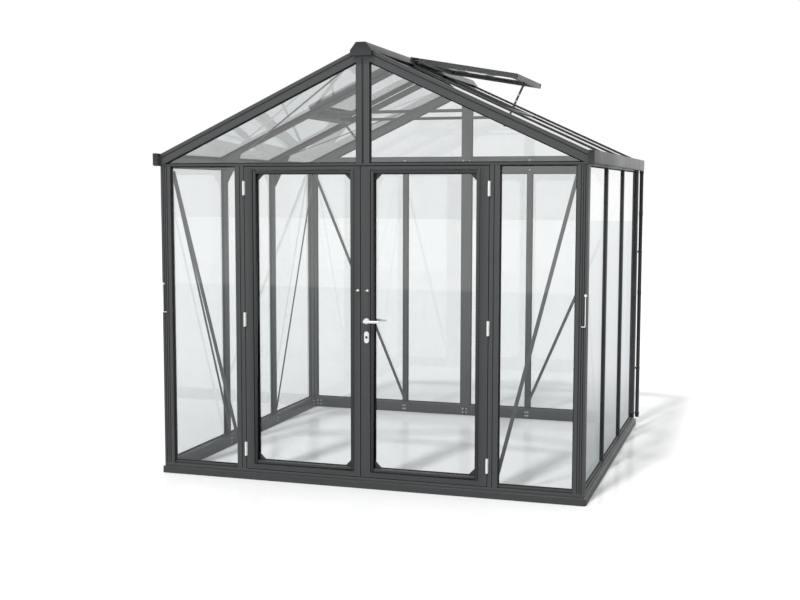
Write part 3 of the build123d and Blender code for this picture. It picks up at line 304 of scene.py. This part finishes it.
def mergedCopy(nodeName):
    # a CAD node's triangles, joined up and with its flat faces whole again
    mesh = bmesh.new()
    mesh.from_mesh(nodes[nodeName].data)
    bmesh.ops.remove_doubles(mesh, verts=mesh.verts[:], dist=meshRules["mergeDistance"])
    bmesh.ops.dissolve_limit(
        mesh, angle_limit=math.radians(meshRules["flatAngle"]), verts=mesh.verts[:],
        edges=mesh.edges[:], use_dissolve_boundaries=False)
    return mesh


def sharpEdges(mesh, lowest, highest, shortest):
    chosen = []
    for edge in mesh.edges:
        if len(edge.link_faces) != 2 or edge.calc_length() < shortest:
            continue
        angle = edge.calc_face_angle(0.0)
        crowded = min(
            other.calc_length() for vert in edge.verts for other in vert.link_edges) < shortest
        if lowest < angle < highest and not crowded:
            chosen.append(edge)
    return chosen


def smoothFaces(mesh, turn=meshRules["smoothTurn"]):
    for face in mesh.faces:
        face.smooth = True
    for edge in mesh.edges:
        edge.smooth = edge.calc_face_angle(0.0) < math.radians(turn)


def softened(nodeName, width, segments=2, smoothTurn=meshRules["smoothTurn"]):
    # the same part with its long arrises rounded over, as a drawn or cast part has them
    mesh = mergedCopy(nodeName)
    edges = sharpEdges(
        mesh, math.radians(meshRules["arrisLow"]), math.radians(meshRules["arrisHigh"]),
        meshRules["arrisShortest"] * width)
    bmesh.ops.bevel(mesh, geom=edges, offset=width, offset_type="OFFSET", segments=segments,
                    profile=0.5, affect="EDGES", clamp_overlap=True, material=-1)
    smoothFaces(mesh, smoothTurn)
    slotName = slotOfNode[nodeName]
    return pieceFrom(mesh, nodeName + "_finished", bodyOf[nodeName],
                     finishOfSlot[slotName], [nodeName])


roundedArrises = {
    "base_rail_front": 1.2, "base_rail_rear": 1.2, "base_rails_side": 1.2,
    "front_transom": 0.8, "rear_transom": 1.0,
    "rear_mullions": 0.8, "side_mullions": 0.8, "eave_beams": 0.8,
    "roof_bars": 0.8, "ridge_beam": 0.8,
    "panel_sills": 0.8, "vent_sills": 0.8,
    "left_door_beads": 1.0, "right_door_beads": 1.0,
    "ridge_cap": 0.8, "gutters": 0.5, "collar_ties": 0.4, "knee_gussets": 0.5,
}
for nodeName, width in roundedArrises.items():
    softened(nodeName, width * mm)
print("scene: arrises rounded")


# Shapes that several pieces use.

def roundedBlock(mesh, low, high, radius, segments=2):
    # a block with all its arrises rounded over
    made = bmesh.ops.create_cube(mesh, size=1.0)["verts"]
    size = [b - a for a, b in zip(low, high)]
    bmesh.ops.scale(mesh, verts=made, vec=size)
    bmesh.ops.translate(mesh, verts=made, vec=[(a + b) / 2 for a, b in zip(low, high)])
    edges = list({edge for vert in made for edge in vert.link_edges})
    if radius:
        made = bmesh.ops.bevel(
            mesh, geom=edges, offset=radius, offset_type="OFFSET", segments=segments,
            profile=0.5, affect="EDGES", clamp_overlap=True, material=-1)["verts"]
    return made


def joinedTo(start):
    # all the vertices that edges link to the ones given
    found = set(start)
    reach = list(found)
    while reach:
        vert = reach.pop()
        for edge in vert.link_edges:
            other = edge.other_vert(vert)
            if other not in found:
                found.add(other)
                reach.append(other)
    return found


def turned(mesh, outline, base, direction, steps=24):
    # a part turned on a lathe: outline holds (radius, height) pairs from its foot to its top
    lift = Vector(direction).to_track_quat("Z", "Y").to_matrix().to_4x4()
    place = Matrix.Translation(base) @ lift
    profile = [mesh.verts.new((radius, 0.0, height)) for radius, height in outline]
    edges = [mesh.edges.new(pair) for pair in zip(profile, profile[1:])]
    bmesh.ops.spin(
        mesh, geom=profile + edges, cent=(0, 0, 0), axis=(0, 0, 1), angle=2 * math.pi,
        steps=steps, use_merge=True)
    verts = list(joinedTo(profile))
    faces = list({face for vert in verts for face in vert.link_faces})
    bmesh.ops.remove_doubles(mesh, verts=verts, dist=meshRules["mergeDistance"])
    verts = [vert for vert in verts if vert.is_valid]
    faces = [face for face in faces if face.is_valid]
    bmesh.ops.recalc_face_normals(mesh, faces=faces)
    bmesh.ops.transform(mesh, matrix=place, verts=verts)


def looseParts(mesh):
    # the separate solids of a mesh, each as a list of its vertices
    waiting = set(mesh.verts)
    parts = []
    while waiting:
        part = joinedTo([waiting.pop()])
        waiting -= part
        parts.append(part)
    return parts


# Rubber strips pressed into the screw grooves of the posts and rafters.

grooveInsert = {
    "widths": (4.5 * mm, 5.5 * mm), "shortest": 0.3, "thickness": 1.2 * mm,
    "nodes": ("corner_posts_front", "corner_posts_rear", "door_posts", "front_gable_post",
              "front_rafters", "rear_rafters"),
}


def grooveFloor(face):
    lengths = sorted(edge.calc_length() for edge in face.edges)
    low, high = grooveInsert["widths"]
    return lengths[-1] > grooveInsert["shortest"] and low < face.calc_area() / lengths[-1] < high


for nodeName in grooveInsert["nodes"]:
    mesh = mergedCopy(nodeName)
    floors = [face for face in mesh.faces if grooveFloor(face)]
    print("scene: groove strips in", nodeName, len(floors))
    if not floors:
        mesh.free()
        continue
    directions = [(face, face.normal.copy()) for face in floors]
    bmesh.ops.delete(mesh, geom=[face for face in mesh.faces if face not in floors],
                     context="FACES")
    for face, normal in directions:
        made = bmesh.ops.extrude_face_region(mesh, geom=[face], use_keep_orig=True)["geom"]
        moved = [item for item in made if isinstance(item, bmesh.types.BMVert)]
        bmesh.ops.translate(mesh, verts=moved, vec=normal * grooveInsert["thickness"])
    bmesh.ops.recalc_face_normals(mesh, faces=mesh.faces[:])
    pieceFrom(mesh, nodeName + "_groove_strips", bodyOf[nodeName], "glazingRubber")


# the gable post's middle channel is closed by a wider strip
gableStrip = {"half": 5.5 * mm, "proud": 1.2 * mm, "footInset": 6.0 * mm, "headInset": 36.0 * mm,
              "corner": 0.6 * mm}
low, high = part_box("front_gable_post")
mesh = bmesh.new()
roundedBlock(
    mesh, (-gableStrip["half"], low.y - gableStrip["proud"], low.z + gableStrip["footInset"]),
    (gableStrip["half"], low.y + gableStrip["proud"], high.z - gableStrip["headInset"]),
    gableStrip["corner"])
smoothFaces(mesh)
pieceFrom(mesh, "gable_post_strip", "house", "glazingRubber")
print("scene: groove strips pressed in")


# Rubber strips that hold the panes.

glazingStrip = {"width": 7.0 * mm, "proud": 2.5 * mm, "smallest": 0.02,
                "doorWidth": 5.0 * mm, "underBead": 21.0 * mm}


def paneStrips(nodeName, hidden, name, width=glazingStrip["width"]):
    # a strip round each pane's edge on both faces; hidden is how much of the edge a bead covers
    mesh = mergedCopy(nodeName)
    panes = [face for face in mesh.faces if face.calc_area() > glazingStrip["smallest"]]
    strips = []
    for face in panes:
        if hidden:
            bmesh.ops.inset_individual(mesh, faces=[face], thickness=hidden, use_even_offset=True)
        ring = bmesh.ops.inset_individual(
            mesh, faces=[face], thickness=width, use_even_offset=True)["faces"]
        strips.append((ring, face.normal.copy()))
    kept = {face for ring, normal in strips for face in ring}
    bmesh.ops.delete(mesh, geom=[face for face in mesh.faces if face not in kept], context="FACES")
    for ring, normal in strips:
        made = bmesh.ops.extrude_face_region(mesh, geom=ring, use_keep_orig=True)["geom"]
        moved = [item for item in made if isinstance(item, bmesh.types.BMVert)]
        bmesh.ops.translate(mesh, verts=moved, vec=normal * glazingStrip["proud"])
    bmesh.ops.recalc_face_normals(mesh, faces=mesh.faces[:])
    pieceFrom(mesh, name, bodyOf[nodeName], "glazingRubber")


for nodeName, name in (
        ("front_glass", "front_pane_strips"), ("rear_glass", "rear_pane_strips"),
        ("side_glass_left", "left_wall_strips"), ("side_glass_right", "right_wall_strips"),
        ("roof_glass_left", "left_roof_strips"), ("roof_glass_right", "right_roof_strips"),
        ("left_vent_glass", "left_vent_strips"), ("right_vent_glass", "right_vent_strips")):
    paneStrips(nodeName, 0.0, name)
for side in ("left", "right"):
    paneStrips(side + "_door_glass", glazingStrip["underBead"], side + "_door_strips",
               width=glazingStrip["doorWidth"])
print("scene: glazing strips made")


# Hinges and bolt keepers: castings with rounded arrises.

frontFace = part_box("door_posts")[0].y
# outlines of turned parts are (radius, height) pairs
screwHead = [(0.0, 1.5 * mm), (1.0 * mm, 1.5 * mm), (1.0 * mm, 0.9 * mm), (1.4 * mm, 1.3 * mm),
             (2.4 * mm, 0.9 * mm), (2.9 * mm, 0.0)]
fittingArris = 0.5 * mm
for nodeName in ("front_fittings", "left_door_fittings", "right_door_fittings"):
    softened(nodeName, fittingArris)
print("scene: hinges softened")


# Lever handle, roses and lock plates.

lever = {
    "x": 23.7 * mm, "z": 978.0 * mm, "length": 92.0 * mm, "reach": 46.0 * mm,
    "height": 17.0 * mm, "thickness": 9.0 * mm, "neck": 8.0 * mm, "spindle": 4.0 * mm,
    "leafDepth": 42.0 * mm, "gripCorner": 4.2 * mm, "taper": 0.22, "footOut": 0.5 * mm,
    "spindleCorner": 0.5 * mm, "trimArris": 1.2 * mm, "plugArris": 0.6 * mm,
    # the neck's radius and height as shares of its full ones
    "neckOutline": ((0.0, 0.0), (1.0, 0.0), (0.97, 0.3), (0.86, 0.6), (0.97, 0.86), (0.9, 1.0),
                    (0.0, 1.0)),
}


def leverSide(mesh, faceY, out):
    half = lever["height"] / 2
    gripFar = faceY + out * lever["reach"]
    gripNear = gripFar - out * lever["thickness"]
    low = (lever["x"] - half, min(gripFar, gripNear), lever["z"] - half)
    high = (lever["x"] + lever["length"], max(gripFar, gripNear), lever["z"] + half)
    grip = roundedBlock(mesh, low, high, lever["gripCorner"], segments=4)
    # the grip thins towards its end, as a cast lever does
    for vert in grip:
        along = (vert.co.x - low[0]) / (high[0] - low[0])
        vert.co.z = lever["z"] + (vert.co.z - lever["z"]) * (1.0 - lever["taper"] * along)
    foot = faceY + out * lever["footOut"]
    neck = lever["reach"] - lever["thickness"] / 2
    outline = [(lever["neck"] * radius, neck * height) for radius, height in lever["neckOutline"]]
    turned(mesh, outline, (lever["x"], foot, lever["z"]), (0, out, 0))


mesh = bmesh.new()
leverSide(mesh, frontFace, -1)
leverSide(mesh, frontFace + lever["leafDepth"], 1)
roundedBlock(mesh, (lever["x"] - lever["spindle"], frontFace, lever["z"] - lever["spindle"]),
             (lever["x"] + lever["spindle"], frontFace + lever["leafDepth"],
              lever["z"] + lever["spindle"]), lever["spindleCorner"])
smoothFaces(mesh)
pieceFrom(mesh, "lever_pair", "lever", "satinSilver", ["lever_handle"])
softened("lock_trim", lever["trimArris"], segments=3)
softened("key_plug", lever["plugArris"])

plateScrews = {"out": 5.0 * mm, "rows": (-26.0 * mm, 26.0 * mm), "z": 885.0 * mm,
               "radiusShare": 0.8, "heightShare": 0.6}
mesh = bmesh.new()
for faceY, out in ((frontFace, -1), (frontFace + lever["leafDepth"], 1)):
    for row in plateScrews["rows"]:
        turned(mesh, [(radius * plateScrews["radiusShare"], height * plateScrews["heightShare"])
                      for radius, height in screwHead],
               (lever["x"], faceY + out * plateScrews["out"], plateScrews["z"] + row), (0, out, 0),
               steps=12)
smoothFaces(mesh)
pieceFrom(mesh, "lock_plate_screws", "right_door", "satinSilver")
print("scene: lever and lock dressed")


# Storm hooks: bent wire with an eye at the top.

stormHook = {
    "x": 1278.0 * mm, "y": -1216.0 * mm, "z": 1160.0 * mm, "length": 170.0 * mm,
    "tip": 22.0 * mm, "wire": 2.4 * mm, "eye": 5.6 * mm, "bend": 7.0 * mm,
    "belowEye": 3.0 * mm, "eyeAngles": (205, 240, 270, 300, 330, 0, 30, 60, 90, 120, 150),
    "straightFromEye": 4, "straightToBend": 6, "smoothTurn": 50.0,
}


def bentWire(name, points, radius, body, finish, replaced):
    # a round wire along a smooth line, made a mesh
    curve = bpy.data.curves.new(name + "_line", "CURVE")
    curve.dimensions = "3D"
    curve.bevel_depth = radius
    curve.bevel_resolution = 4
    curve.use_fill_caps = True
    spline = curve.splines.new("NURBS")
    spline.points.add(len(points) - 1)
    for point, place in zip(spline.points, points):
        point.co = (*place, 1.0)
    spline.order_u = 3
    spline.use_endpoint_u = True
    spline.resolution_u = 6
    holder = bpy.data.objects.new(name + "_line", curve)
    data = bpy.data.meshes.new_from_object(holder)
    mesh = bmesh.new()
    mesh.from_mesh(data)
    bpy.data.objects.remove(holder)
    bpy.data.curves.remove(curve)
    bpy.data.meshes.remove(data)
    bmesh.ops.remove_doubles(mesh, verts=mesh.verts[:], dist=0.01 * mm)
    bmesh.ops.recalc_face_normals(mesh, faces=mesh.faces[:])
    smoothFaces(mesh, stormHook["smoothTurn"])
    pieceFrom(mesh, name, body, finish, replaced)


for side, sign in (("right", 1), ("left", -1)):
    x, y, z = sign * stormHook["x"], stormHook["y"], stormHook["z"]
    ring = stormHook["eye"]
    low = z - stormHook["length"]
    points = [(x + ring * math.sin(math.radians(angle)) * sign, y,
               z + ring * math.cos(math.radians(angle)))
              for angle in stormHook["eyeAngles"]]
    points += [(x, y, z - ring - stormHook["belowEye"]),
               (x, y, z - stormHook["straightFromEye"] * ring),
               (x, y, low + stormHook["straightToBend"] * stormHook["bend"]),
               (x, y, low + stormHook["bend"]), (x, y, low), (x - sign * stormHook["bend"], y, low),
               (x - sign * stormHook["tip"], y, low)]
    bentWire(side + "_storm_hook_wire", points, stormHook["wire"], side + "_hook",
             "whiteLacqueredZinc", [side + "_storm_hook"])
print("scene: storm hooks bent")


# Moulded end caps of the ridge and the gutters.

capRules = {"endFacing": 0.9, "endDepth": 0.5 * mm, "arrisLow": 25, "arrisShortest": 3.0 * mm,
            "smoothTurn": 40.0}
# each step is an inset and how far the face inside it lies back
moulding = {
    "ridge_end_caps": {"steps": ((5.0 * mm, 1.2 * mm), (4.0 * mm, 1.0 * mm)), "arris": 0.7 * mm},
    "gutter_end_caps": {"steps": ((4.0 * mm, 1.0 * mm),), "arris": 0.6 * mm},
}


def steppedCap(nodeName, steps, arris):
    # a moulded cap: its two end faces stepped in, its arrises well rounded
    mesh = mergedCopy(nodeName)
    ends = [face for face in mesh.faces if abs(face.normal.y) > capRules["endFacing"]]
    reach = max(abs(face.calc_center_median().y) for face in ends)
    outer = [face for face in ends
             if abs(face.calc_center_median().y) > reach - capRules["endDepth"]]
    for thickness, depth in steps:
        for face in outer:
            bmesh.ops.inset_individual(
                mesh, faces=[face], thickness=thickness, depth=0.0, use_even_offset=True)
            bmesh.ops.translate(mesh, verts=face.verts[:], vec=-face.normal * depth)
    edges = sharpEdges(mesh, math.radians(capRules["arrisLow"]),
                       math.radians(meshRules["arrisHigh"]), capRules["arrisShortest"])
    bmesh.ops.bevel(mesh, geom=edges, offset=arris, offset_type="OFFSET", segments=2,
                    profile=0.5, affect="EDGES", clamp_overlap=True, material=-1)
    smoothFaces(mesh, capRules["smoothTurn"])
    pieceFrom(mesh, nodeName + "_moulded", bodyOf[nodeName], "mouldedAbs",
              [nodeName])


for nodeName, shape in moulding.items():
    steppedCap(nodeName, shape["steps"], shape["arris"])


# Downpipes: tubes with collars, sleeves and clips.

pipes = {
    "arris": 0.5 * mm, "smoothTurn": 40.0,
    "x": 1302.0 * mm, "rows": (890.0 * mm, 1232.0 * mm), "radius": 13.5 * mm,
    "sleeve": 1.2 * mm, "sleeveHeights": (0.98, 1.56), "sleeveLength": 34.0 * mm,
    "sleeveMouth": 0.4 * mm, "sleeveLead": 1.0 * mm, "sleeveTaper": 3.0 * mm,
    "sleeveLip": 0.3 * mm, "sleeveSteps": 28,
    "clipHeights": (0.42, 1.28), "clipHeight": 12.0 * mm, "clipWall": 1.4 * mm,
    # the arm from the clip to the post's rear corner
    "armX": (1.271, 1.296), "armY": (1.2105, 1.2235), "armCorner": 1.0 * mm,
}
pipeTubes = softened("downpipes", pipes["arris"], smoothTurn=pipes["smoothTurn"])
mesh = bmesh.new()
for row in pipes["rows"]:
    for height in pipes["sleeveHeights"]:
        outer = pipes["radius"] + pipes["sleeve"]
        half = pipes["sleeveLength"] / 2
        outline = [
            (pipes["radius"], -half), (outer - pipes["sleeveMouth"], -half),
            (outer, pipes["sleeveLead"] - half), (outer, half - pipes["sleeveTaper"]),
            (pipes["radius"] + pipes["sleeveLip"], half), (pipes["radius"], half)]
        turned(mesh, outline, (pipes["x"], row, height), (0, 0, 1), steps=pipes["sleeveSteps"])
smoothFaces(mesh)
pipeSleeves = pieceFrom(mesh, "pipe_sleeves", "house", "mouldedAbs")
mesh = bmesh.new()
for height in pipes["clipHeights"]:
    half = pipes["clipHeight"] / 2
    outer = pipes["radius"] + pipes["clipWall"]
    turned(mesh, [(pipes["radius"], -half), (outer, -half), (outer, half),
                  (pipes["radius"], half)], (pipes["x"], pipes["rows"][1], height), (0, 0, 1))
    roundedBlock(mesh, (pipes["armX"][0], pipes["armY"][0], height - half),
                 (pipes["armX"][1], pipes["armY"][1], height + half), pipes["armCorner"])
smoothFaces(mesh)
pipeClips = pieceFrom(mesh, "pipe_clips", "house", "mouldedAbs")
# the side panes are seen at a low angle, where a mirrored pipe would look like one more pipe
for piece in (pipeTubes, pipeSleeves, pipeClips):
    piece.visible_glossy = False
print("scene: caps and pipes moulded")


# Bolts: domed heads on washers.

boltHead = {
    "washer": 7.5 * mm, "washerThickness": 1.0 * mm, "head": 5.2 * mm, "height": 3.8 * mm,
    "washerBevel": 0.6 * mm, "washerSteps": 14, "headSteps": 6,
    # the dome's radius and height as shares of the head's
    "dome": ((0.0, 1.0), (0.55, 0.95), (0.86, 0.72)),
}
boltMesh = mergedCopy("frame_bolts")
boltPlaces = []
for part in looseParts(boltMesh):
    low = Vector([min(vert.co[axis] for vert in part) for axis in range(3)])
    high = Vector([max(vert.co[axis] for vert in part) for axis in range(3)])
    boltPlaces.append((low, high))
boltMesh.free()
mesh = bmesh.new()
for low, high in boltPlaces:
    centre = (low + high) / 2
    thin = min(range(2), key=lambda axis: high[axis] - low[axis])
    direction = Vector((0, 0, 0))
    direction[thin] = -1.0 if centre[thin] > 0 else 1.0
    foot = centre.copy()
    foot[thin] = low[thin] if direction[thin] > 0 else high[thin]
    turned(mesh, [(0.0, boltHead["washerThickness"]),
                  (boltHead["washer"] - boltHead["washerBevel"], boltHead["washerThickness"]),
                  (boltHead["washer"], 0.0)], foot, direction, steps=boltHead["washerSteps"])
    turned(mesh, [(boltHead["head"] * radius, boltHead["height"] * height)
                  for radius, height in boltHead["dome"]]
           + [(boltHead["head"], boltHead["washerThickness"])],
           foot, direction, steps=boltHead["headSteps"])
for face in mesh.faces:
    face.smooth = False
pieceFrom(mesh, "frame_bolt_heads", "house", "zincPlate", ["frame_bolts"])
print("scene: bolts set,", len(boltPlaces))


# Door seals.

doorSeal = {
    "gapX": (-16.6 * mm, -13.2 * mm), "depth": (14.0 * mm, 28.0 * mm), "low": 0.068, "high": 1.860,
    "brushLow": 62.4 * mm, "brushHigh": 66.0 * mm, "brushDepth": (18.0 * mm, 24.0 * mm),
    "clear": 4.0 * mm, "corner": 1.2 * mm, "brushEndInset": 4.0 * mm,
    "shortestBrush": 30.0 * mm, "longEdge": 20.0 * mm, "bristleCuts": 180,
}
# how the brush's lower edge is frayed: depths, and waves per metre in radians
fray = {"drop": 0.9 * mm, "sway": 0.5 * mm, "dropWave": 2900.0, "swayWave": 1700.0,
        "reach": 1.0 * mm}


def lengthsAround(start, end, axis, partNames):
    # the lengths that are left of a run when it stops short of each named part
    lengths = []
    for low, high in sorted((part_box(partName)[0][axis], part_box(partName)[1][axis])
                            for partName in partNames):
        lengths.append((start, low - doorSeal["clear"]))
        start = high + doorSeal["clear"]
    return lengths + [(start, end)]


mesh = bmesh.new()
for low, high in lengthsAround(doorSeal["low"], doorSeal["high"], 2, ("dead_bolt", "latch_bolt")):
    roundedBlock(mesh, (doorSeal["gapX"][0], frontFace + doorSeal["depth"][0], low),
                 (doorSeal["gapX"][1], frontFace + doorSeal["depth"][1], high),
                 doorSeal["corner"])
smoothFaces(mesh)
pieceFrom(mesh, "meeting_stile_seal", "left_door", "glazingRubber")
for side in ("left", "right"):
    low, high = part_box(side + "_door_frame")
    mesh = bmesh.new()
    inTheWay = ("bottom_flush_bolt",) if side == "left" else ()
    inset = doorSeal["brushEndInset"]
    for start, end in lengthsAround(low.x + inset, high.x - inset, 0, inTheWay):
        if end - start > doorSeal["shortestBrush"]:
            roundedBlock(
                mesh, (start, frontFace + doorSeal["brushDepth"][0], doorSeal["brushLow"]),
                (end, frontFace + doorSeal["brushDepth"][1], doorSeal["brushHigh"]), 0.0)
    runs = [edge for edge in mesh.edges
            if abs(edge.verts[0].co.x - edge.verts[1].co.x) > doorSeal["longEdge"]]
    bmesh.ops.subdivide_edges(mesh, edges=runs, cuts=doorSeal["bristleCuts"], use_grid_fill=True)
    for vert in mesh.verts:
        if vert.co.z < doorSeal["brushLow"] + fray["reach"]:
            vert.co.z += fray["drop"] * (0.5 + 0.5 * math.sin(vert.co.x * fray["dropWave"]))
            vert.co.y += fray["sway"] * math.sin(vert.co.x * fray["swayWave"])
    pieceFrom(mesh, side + "_door_brush", side + "_door", "brushPile")
print("scene: door seals made")


# Straps across the gutters.

gutterSet = {"x": (1287.5 * mm, 1315.5 * mm), "z": (1938.5 * mm, 1940.5 * mm),
             "rows": (-1.05, -0.3925, 0.3925, 1.05), "half": 7.0 * mm, "corner": 0.5 * mm}
mesh = bmesh.new()
for sign in (-1, 1):
    for row in gutterSet["rows"]:
        ends = sorted(sign * value for value in gutterSet["x"])
        roundedBlock(mesh, (ends[0], row - gutterSet["half"], gutterSet["z"][0]),
                     (ends[1], row + gutterSet["half"], gutterSet["z"][1]),
                     gutterSet["corner"])
smoothFaces(mesh)
pieceFrom(mesh, "gutter_straps", "house", "zincPlate")
print("scene: gutter straps set")


# Floor, light and camera.

stage = {
    "floorHalf": 60.0, "floorTones": ("#f3f3f3", "#f6f6f6"), "speckleScale": 0.8,
    "floorRoughness": 0.16, "floorIor": 1.12,
    "cardHalf": (60.0, 37.25, 1.0), "cardCentre": (0.0, 22.75, -0.005),
    # colours of the painted floor reflection that the panes show
    "cardDark": "#3a454b", "cardDarkBehind": "#c6cacc", "cardPale": "#f4f7f8",
    "cardRise": 4.0, "behindFrom": 0.5, "behindTo": 4.0,
    "worldLight": 0.86, "worldSeen": 1.0,
}


def flatSheet(name, half, centre):
    # a level sheet that belongs to the studio, not to the house
    sheetMesh = bmesh.new()
    bmesh.ops.create_grid(sheetMesh, x_segments=1, y_segments=1, size=1.0)
    bmesh.ops.scale(sheetMesh, verts=sheetMesh.verts[:], vec=half)
    bmesh.ops.translate(sheetMesh, verts=sheetMesh.verts[:], vec=centre)
    data = bpy.data.meshes.new(name)
    sheetMesh.to_mesh(data)
    sheetMesh.free()
    sheet = bpy.data.objects.new(name, data)
    scene.collection.objects.link(sheet)
    return sheet


floor = flatSheet("studioFloor", (stage["floorHalf"], stage["floorHalf"], 1.0), (0.0, 0.0, 0.0))
floorFinish, tree = newMaterial("paleStudioFloor")
floorSpeckle = addNode(tree, "ShaderNodeTexNoise", {"Scale": stage["speckleScale"], "Detail": 3.0},
                       {"Vector": objectPlace(tree)})
floorColour = mixedColour(tree, floorSpeckle.outputs["Fac"], *stage["floorTones"])
floorShader = addNode(tree, "ShaderNodeBsdfPrincipled",
                      {"Roughness": stage["floorRoughness"], "IOR": stage["floorIor"]},
                      {"Base Color": floorColour})
addNode(tree, "ShaderNodeOutputMaterial", None, {"Surface": floorShader.outputs[0]})
floor.data.materials.append(floorFinish)
floor.visible_glossy = False

# painted reflection: a glowing grey sheet under the floor that only reflections see, standing in
# for the studio floor the panes mirror low down
card = flatSheet("paintedFloorReflection", stage["cardHalf"], stage["cardCentre"])
cardFinish, tree = newMaterial("paintedFloorReflectionGrey")
# the painted reflection turns paler at a low angle, as a glossy floor mirrors more there
cardFacing = addNode(tree, "ShaderNodeLayerWeight", {"Blend": 0.5})
cardRise = addNode(tree, "ShaderNodeMath", {"operation": "POWER", 1: stage["cardRise"]},
                   {0: cardFacing.outputs["Facing"]})
# the painted reflection is paler behind the house than before it
cardPlace = addNode(tree, "ShaderNodeSeparateXYZ", None, {"Vector": objectPlace(tree)})
behind = addNode(tree, "ShaderNodeMapRange",
                 {"From Min": stage["behindFrom"], "From Max": stage["behindTo"]},
                 {"Value": cardPlace.outputs["Y"]})
cardDark = mixedColour(tree, behind.outputs["Result"], stage["cardDark"], stage["cardDarkBehind"])
cardColour = mixedColour(tree, cardRise.outputs[0], cardDark, stage["cardPale"])
# the sheet glows, though it is no lamp
cardShader = addNode(tree, "ShaderNodeEmission", {"Strength": 1.0}, {"Color": cardColour})
addNode(tree, "ShaderNodeOutputMaterial", None, {"Surface": cardShader.outputs[0]})
card.data.materials.append(cardFinish)
card.visible_camera = False
card.visible_diffuse = False
card.visible_transmission = False
card.visible_shadow = False

world = bpy.data.worlds.new("studioWhite")
world.use_nodes = True
world.node_tree.nodes.clear()
tree = world.node_tree
path = addNode(tree, "ShaderNodeLightPath")
seen = addNode(tree, "ShaderNodeMath", {"operation": "MAXIMUM"},
               {0: path.outputs["Is Camera Ray"], 1: path.outputs["Is Glossy Ray"]})
strength = addNode(tree, "ShaderNodeMapRange",
                   {"To Min": stage["worldLight"], "To Max": stage["worldSeen"]},
                   {"Value": seen.outputs[0]})
sky = addNode(tree, "ShaderNodeBackground", {"Color": (1, 1, 1, 1)},
              {"Strength": strength.outputs["Result"]})
addNode(tree, "ShaderNodeOutputWorld", None, {"Surface": sky.outputs[0]})
scene.world = world

sunSettings = {"travel": (0.145, 0.70, -1.0), "strength": 1.95, "softness": 5.0}
sunLight = bpy.data.lights.new("highKey", "SUN")
sunLight.energy = sunSettings["strength"]
sunLight.angle = math.radians(sunSettings["softness"])
sun = bpy.data.objects.new("highKey", sunLight)
sun.rotation_euler = Vector(sunSettings["travel"]).to_track_quat("-Z", "Y").to_euler()
scene.collection.objects.link(sun)

cameraSettings = {
    "place": (2.249, -7.629, 1.731), "turn": 17.518, "down": 5.305, "roll": -0.1,
    "lens": 53.55, "sensor": 36.0, "clipEnd": 200.0,
}
cameraData = bpy.data.cameras.new("catalogueView")
cameraData.lens = cameraSettings["lens"]
cameraData.sensor_width = cameraSettings["sensor"]
cameraData.clip_end = cameraSettings["clipEnd"]
camera = bpy.data.objects.new("catalogueView", cameraData)
camera.location = cameraSettings["place"]
camera.rotation_euler = [math.radians(angle) for angle in (
    90 - cameraSettings["down"], cameraSettings["roll"], cameraSettings["turn"])]
scene.collection.objects.link(camera)
scene.camera = camera
scene.view_settings.view_transform = "Standard"
print("scene: floor, light and camera set")
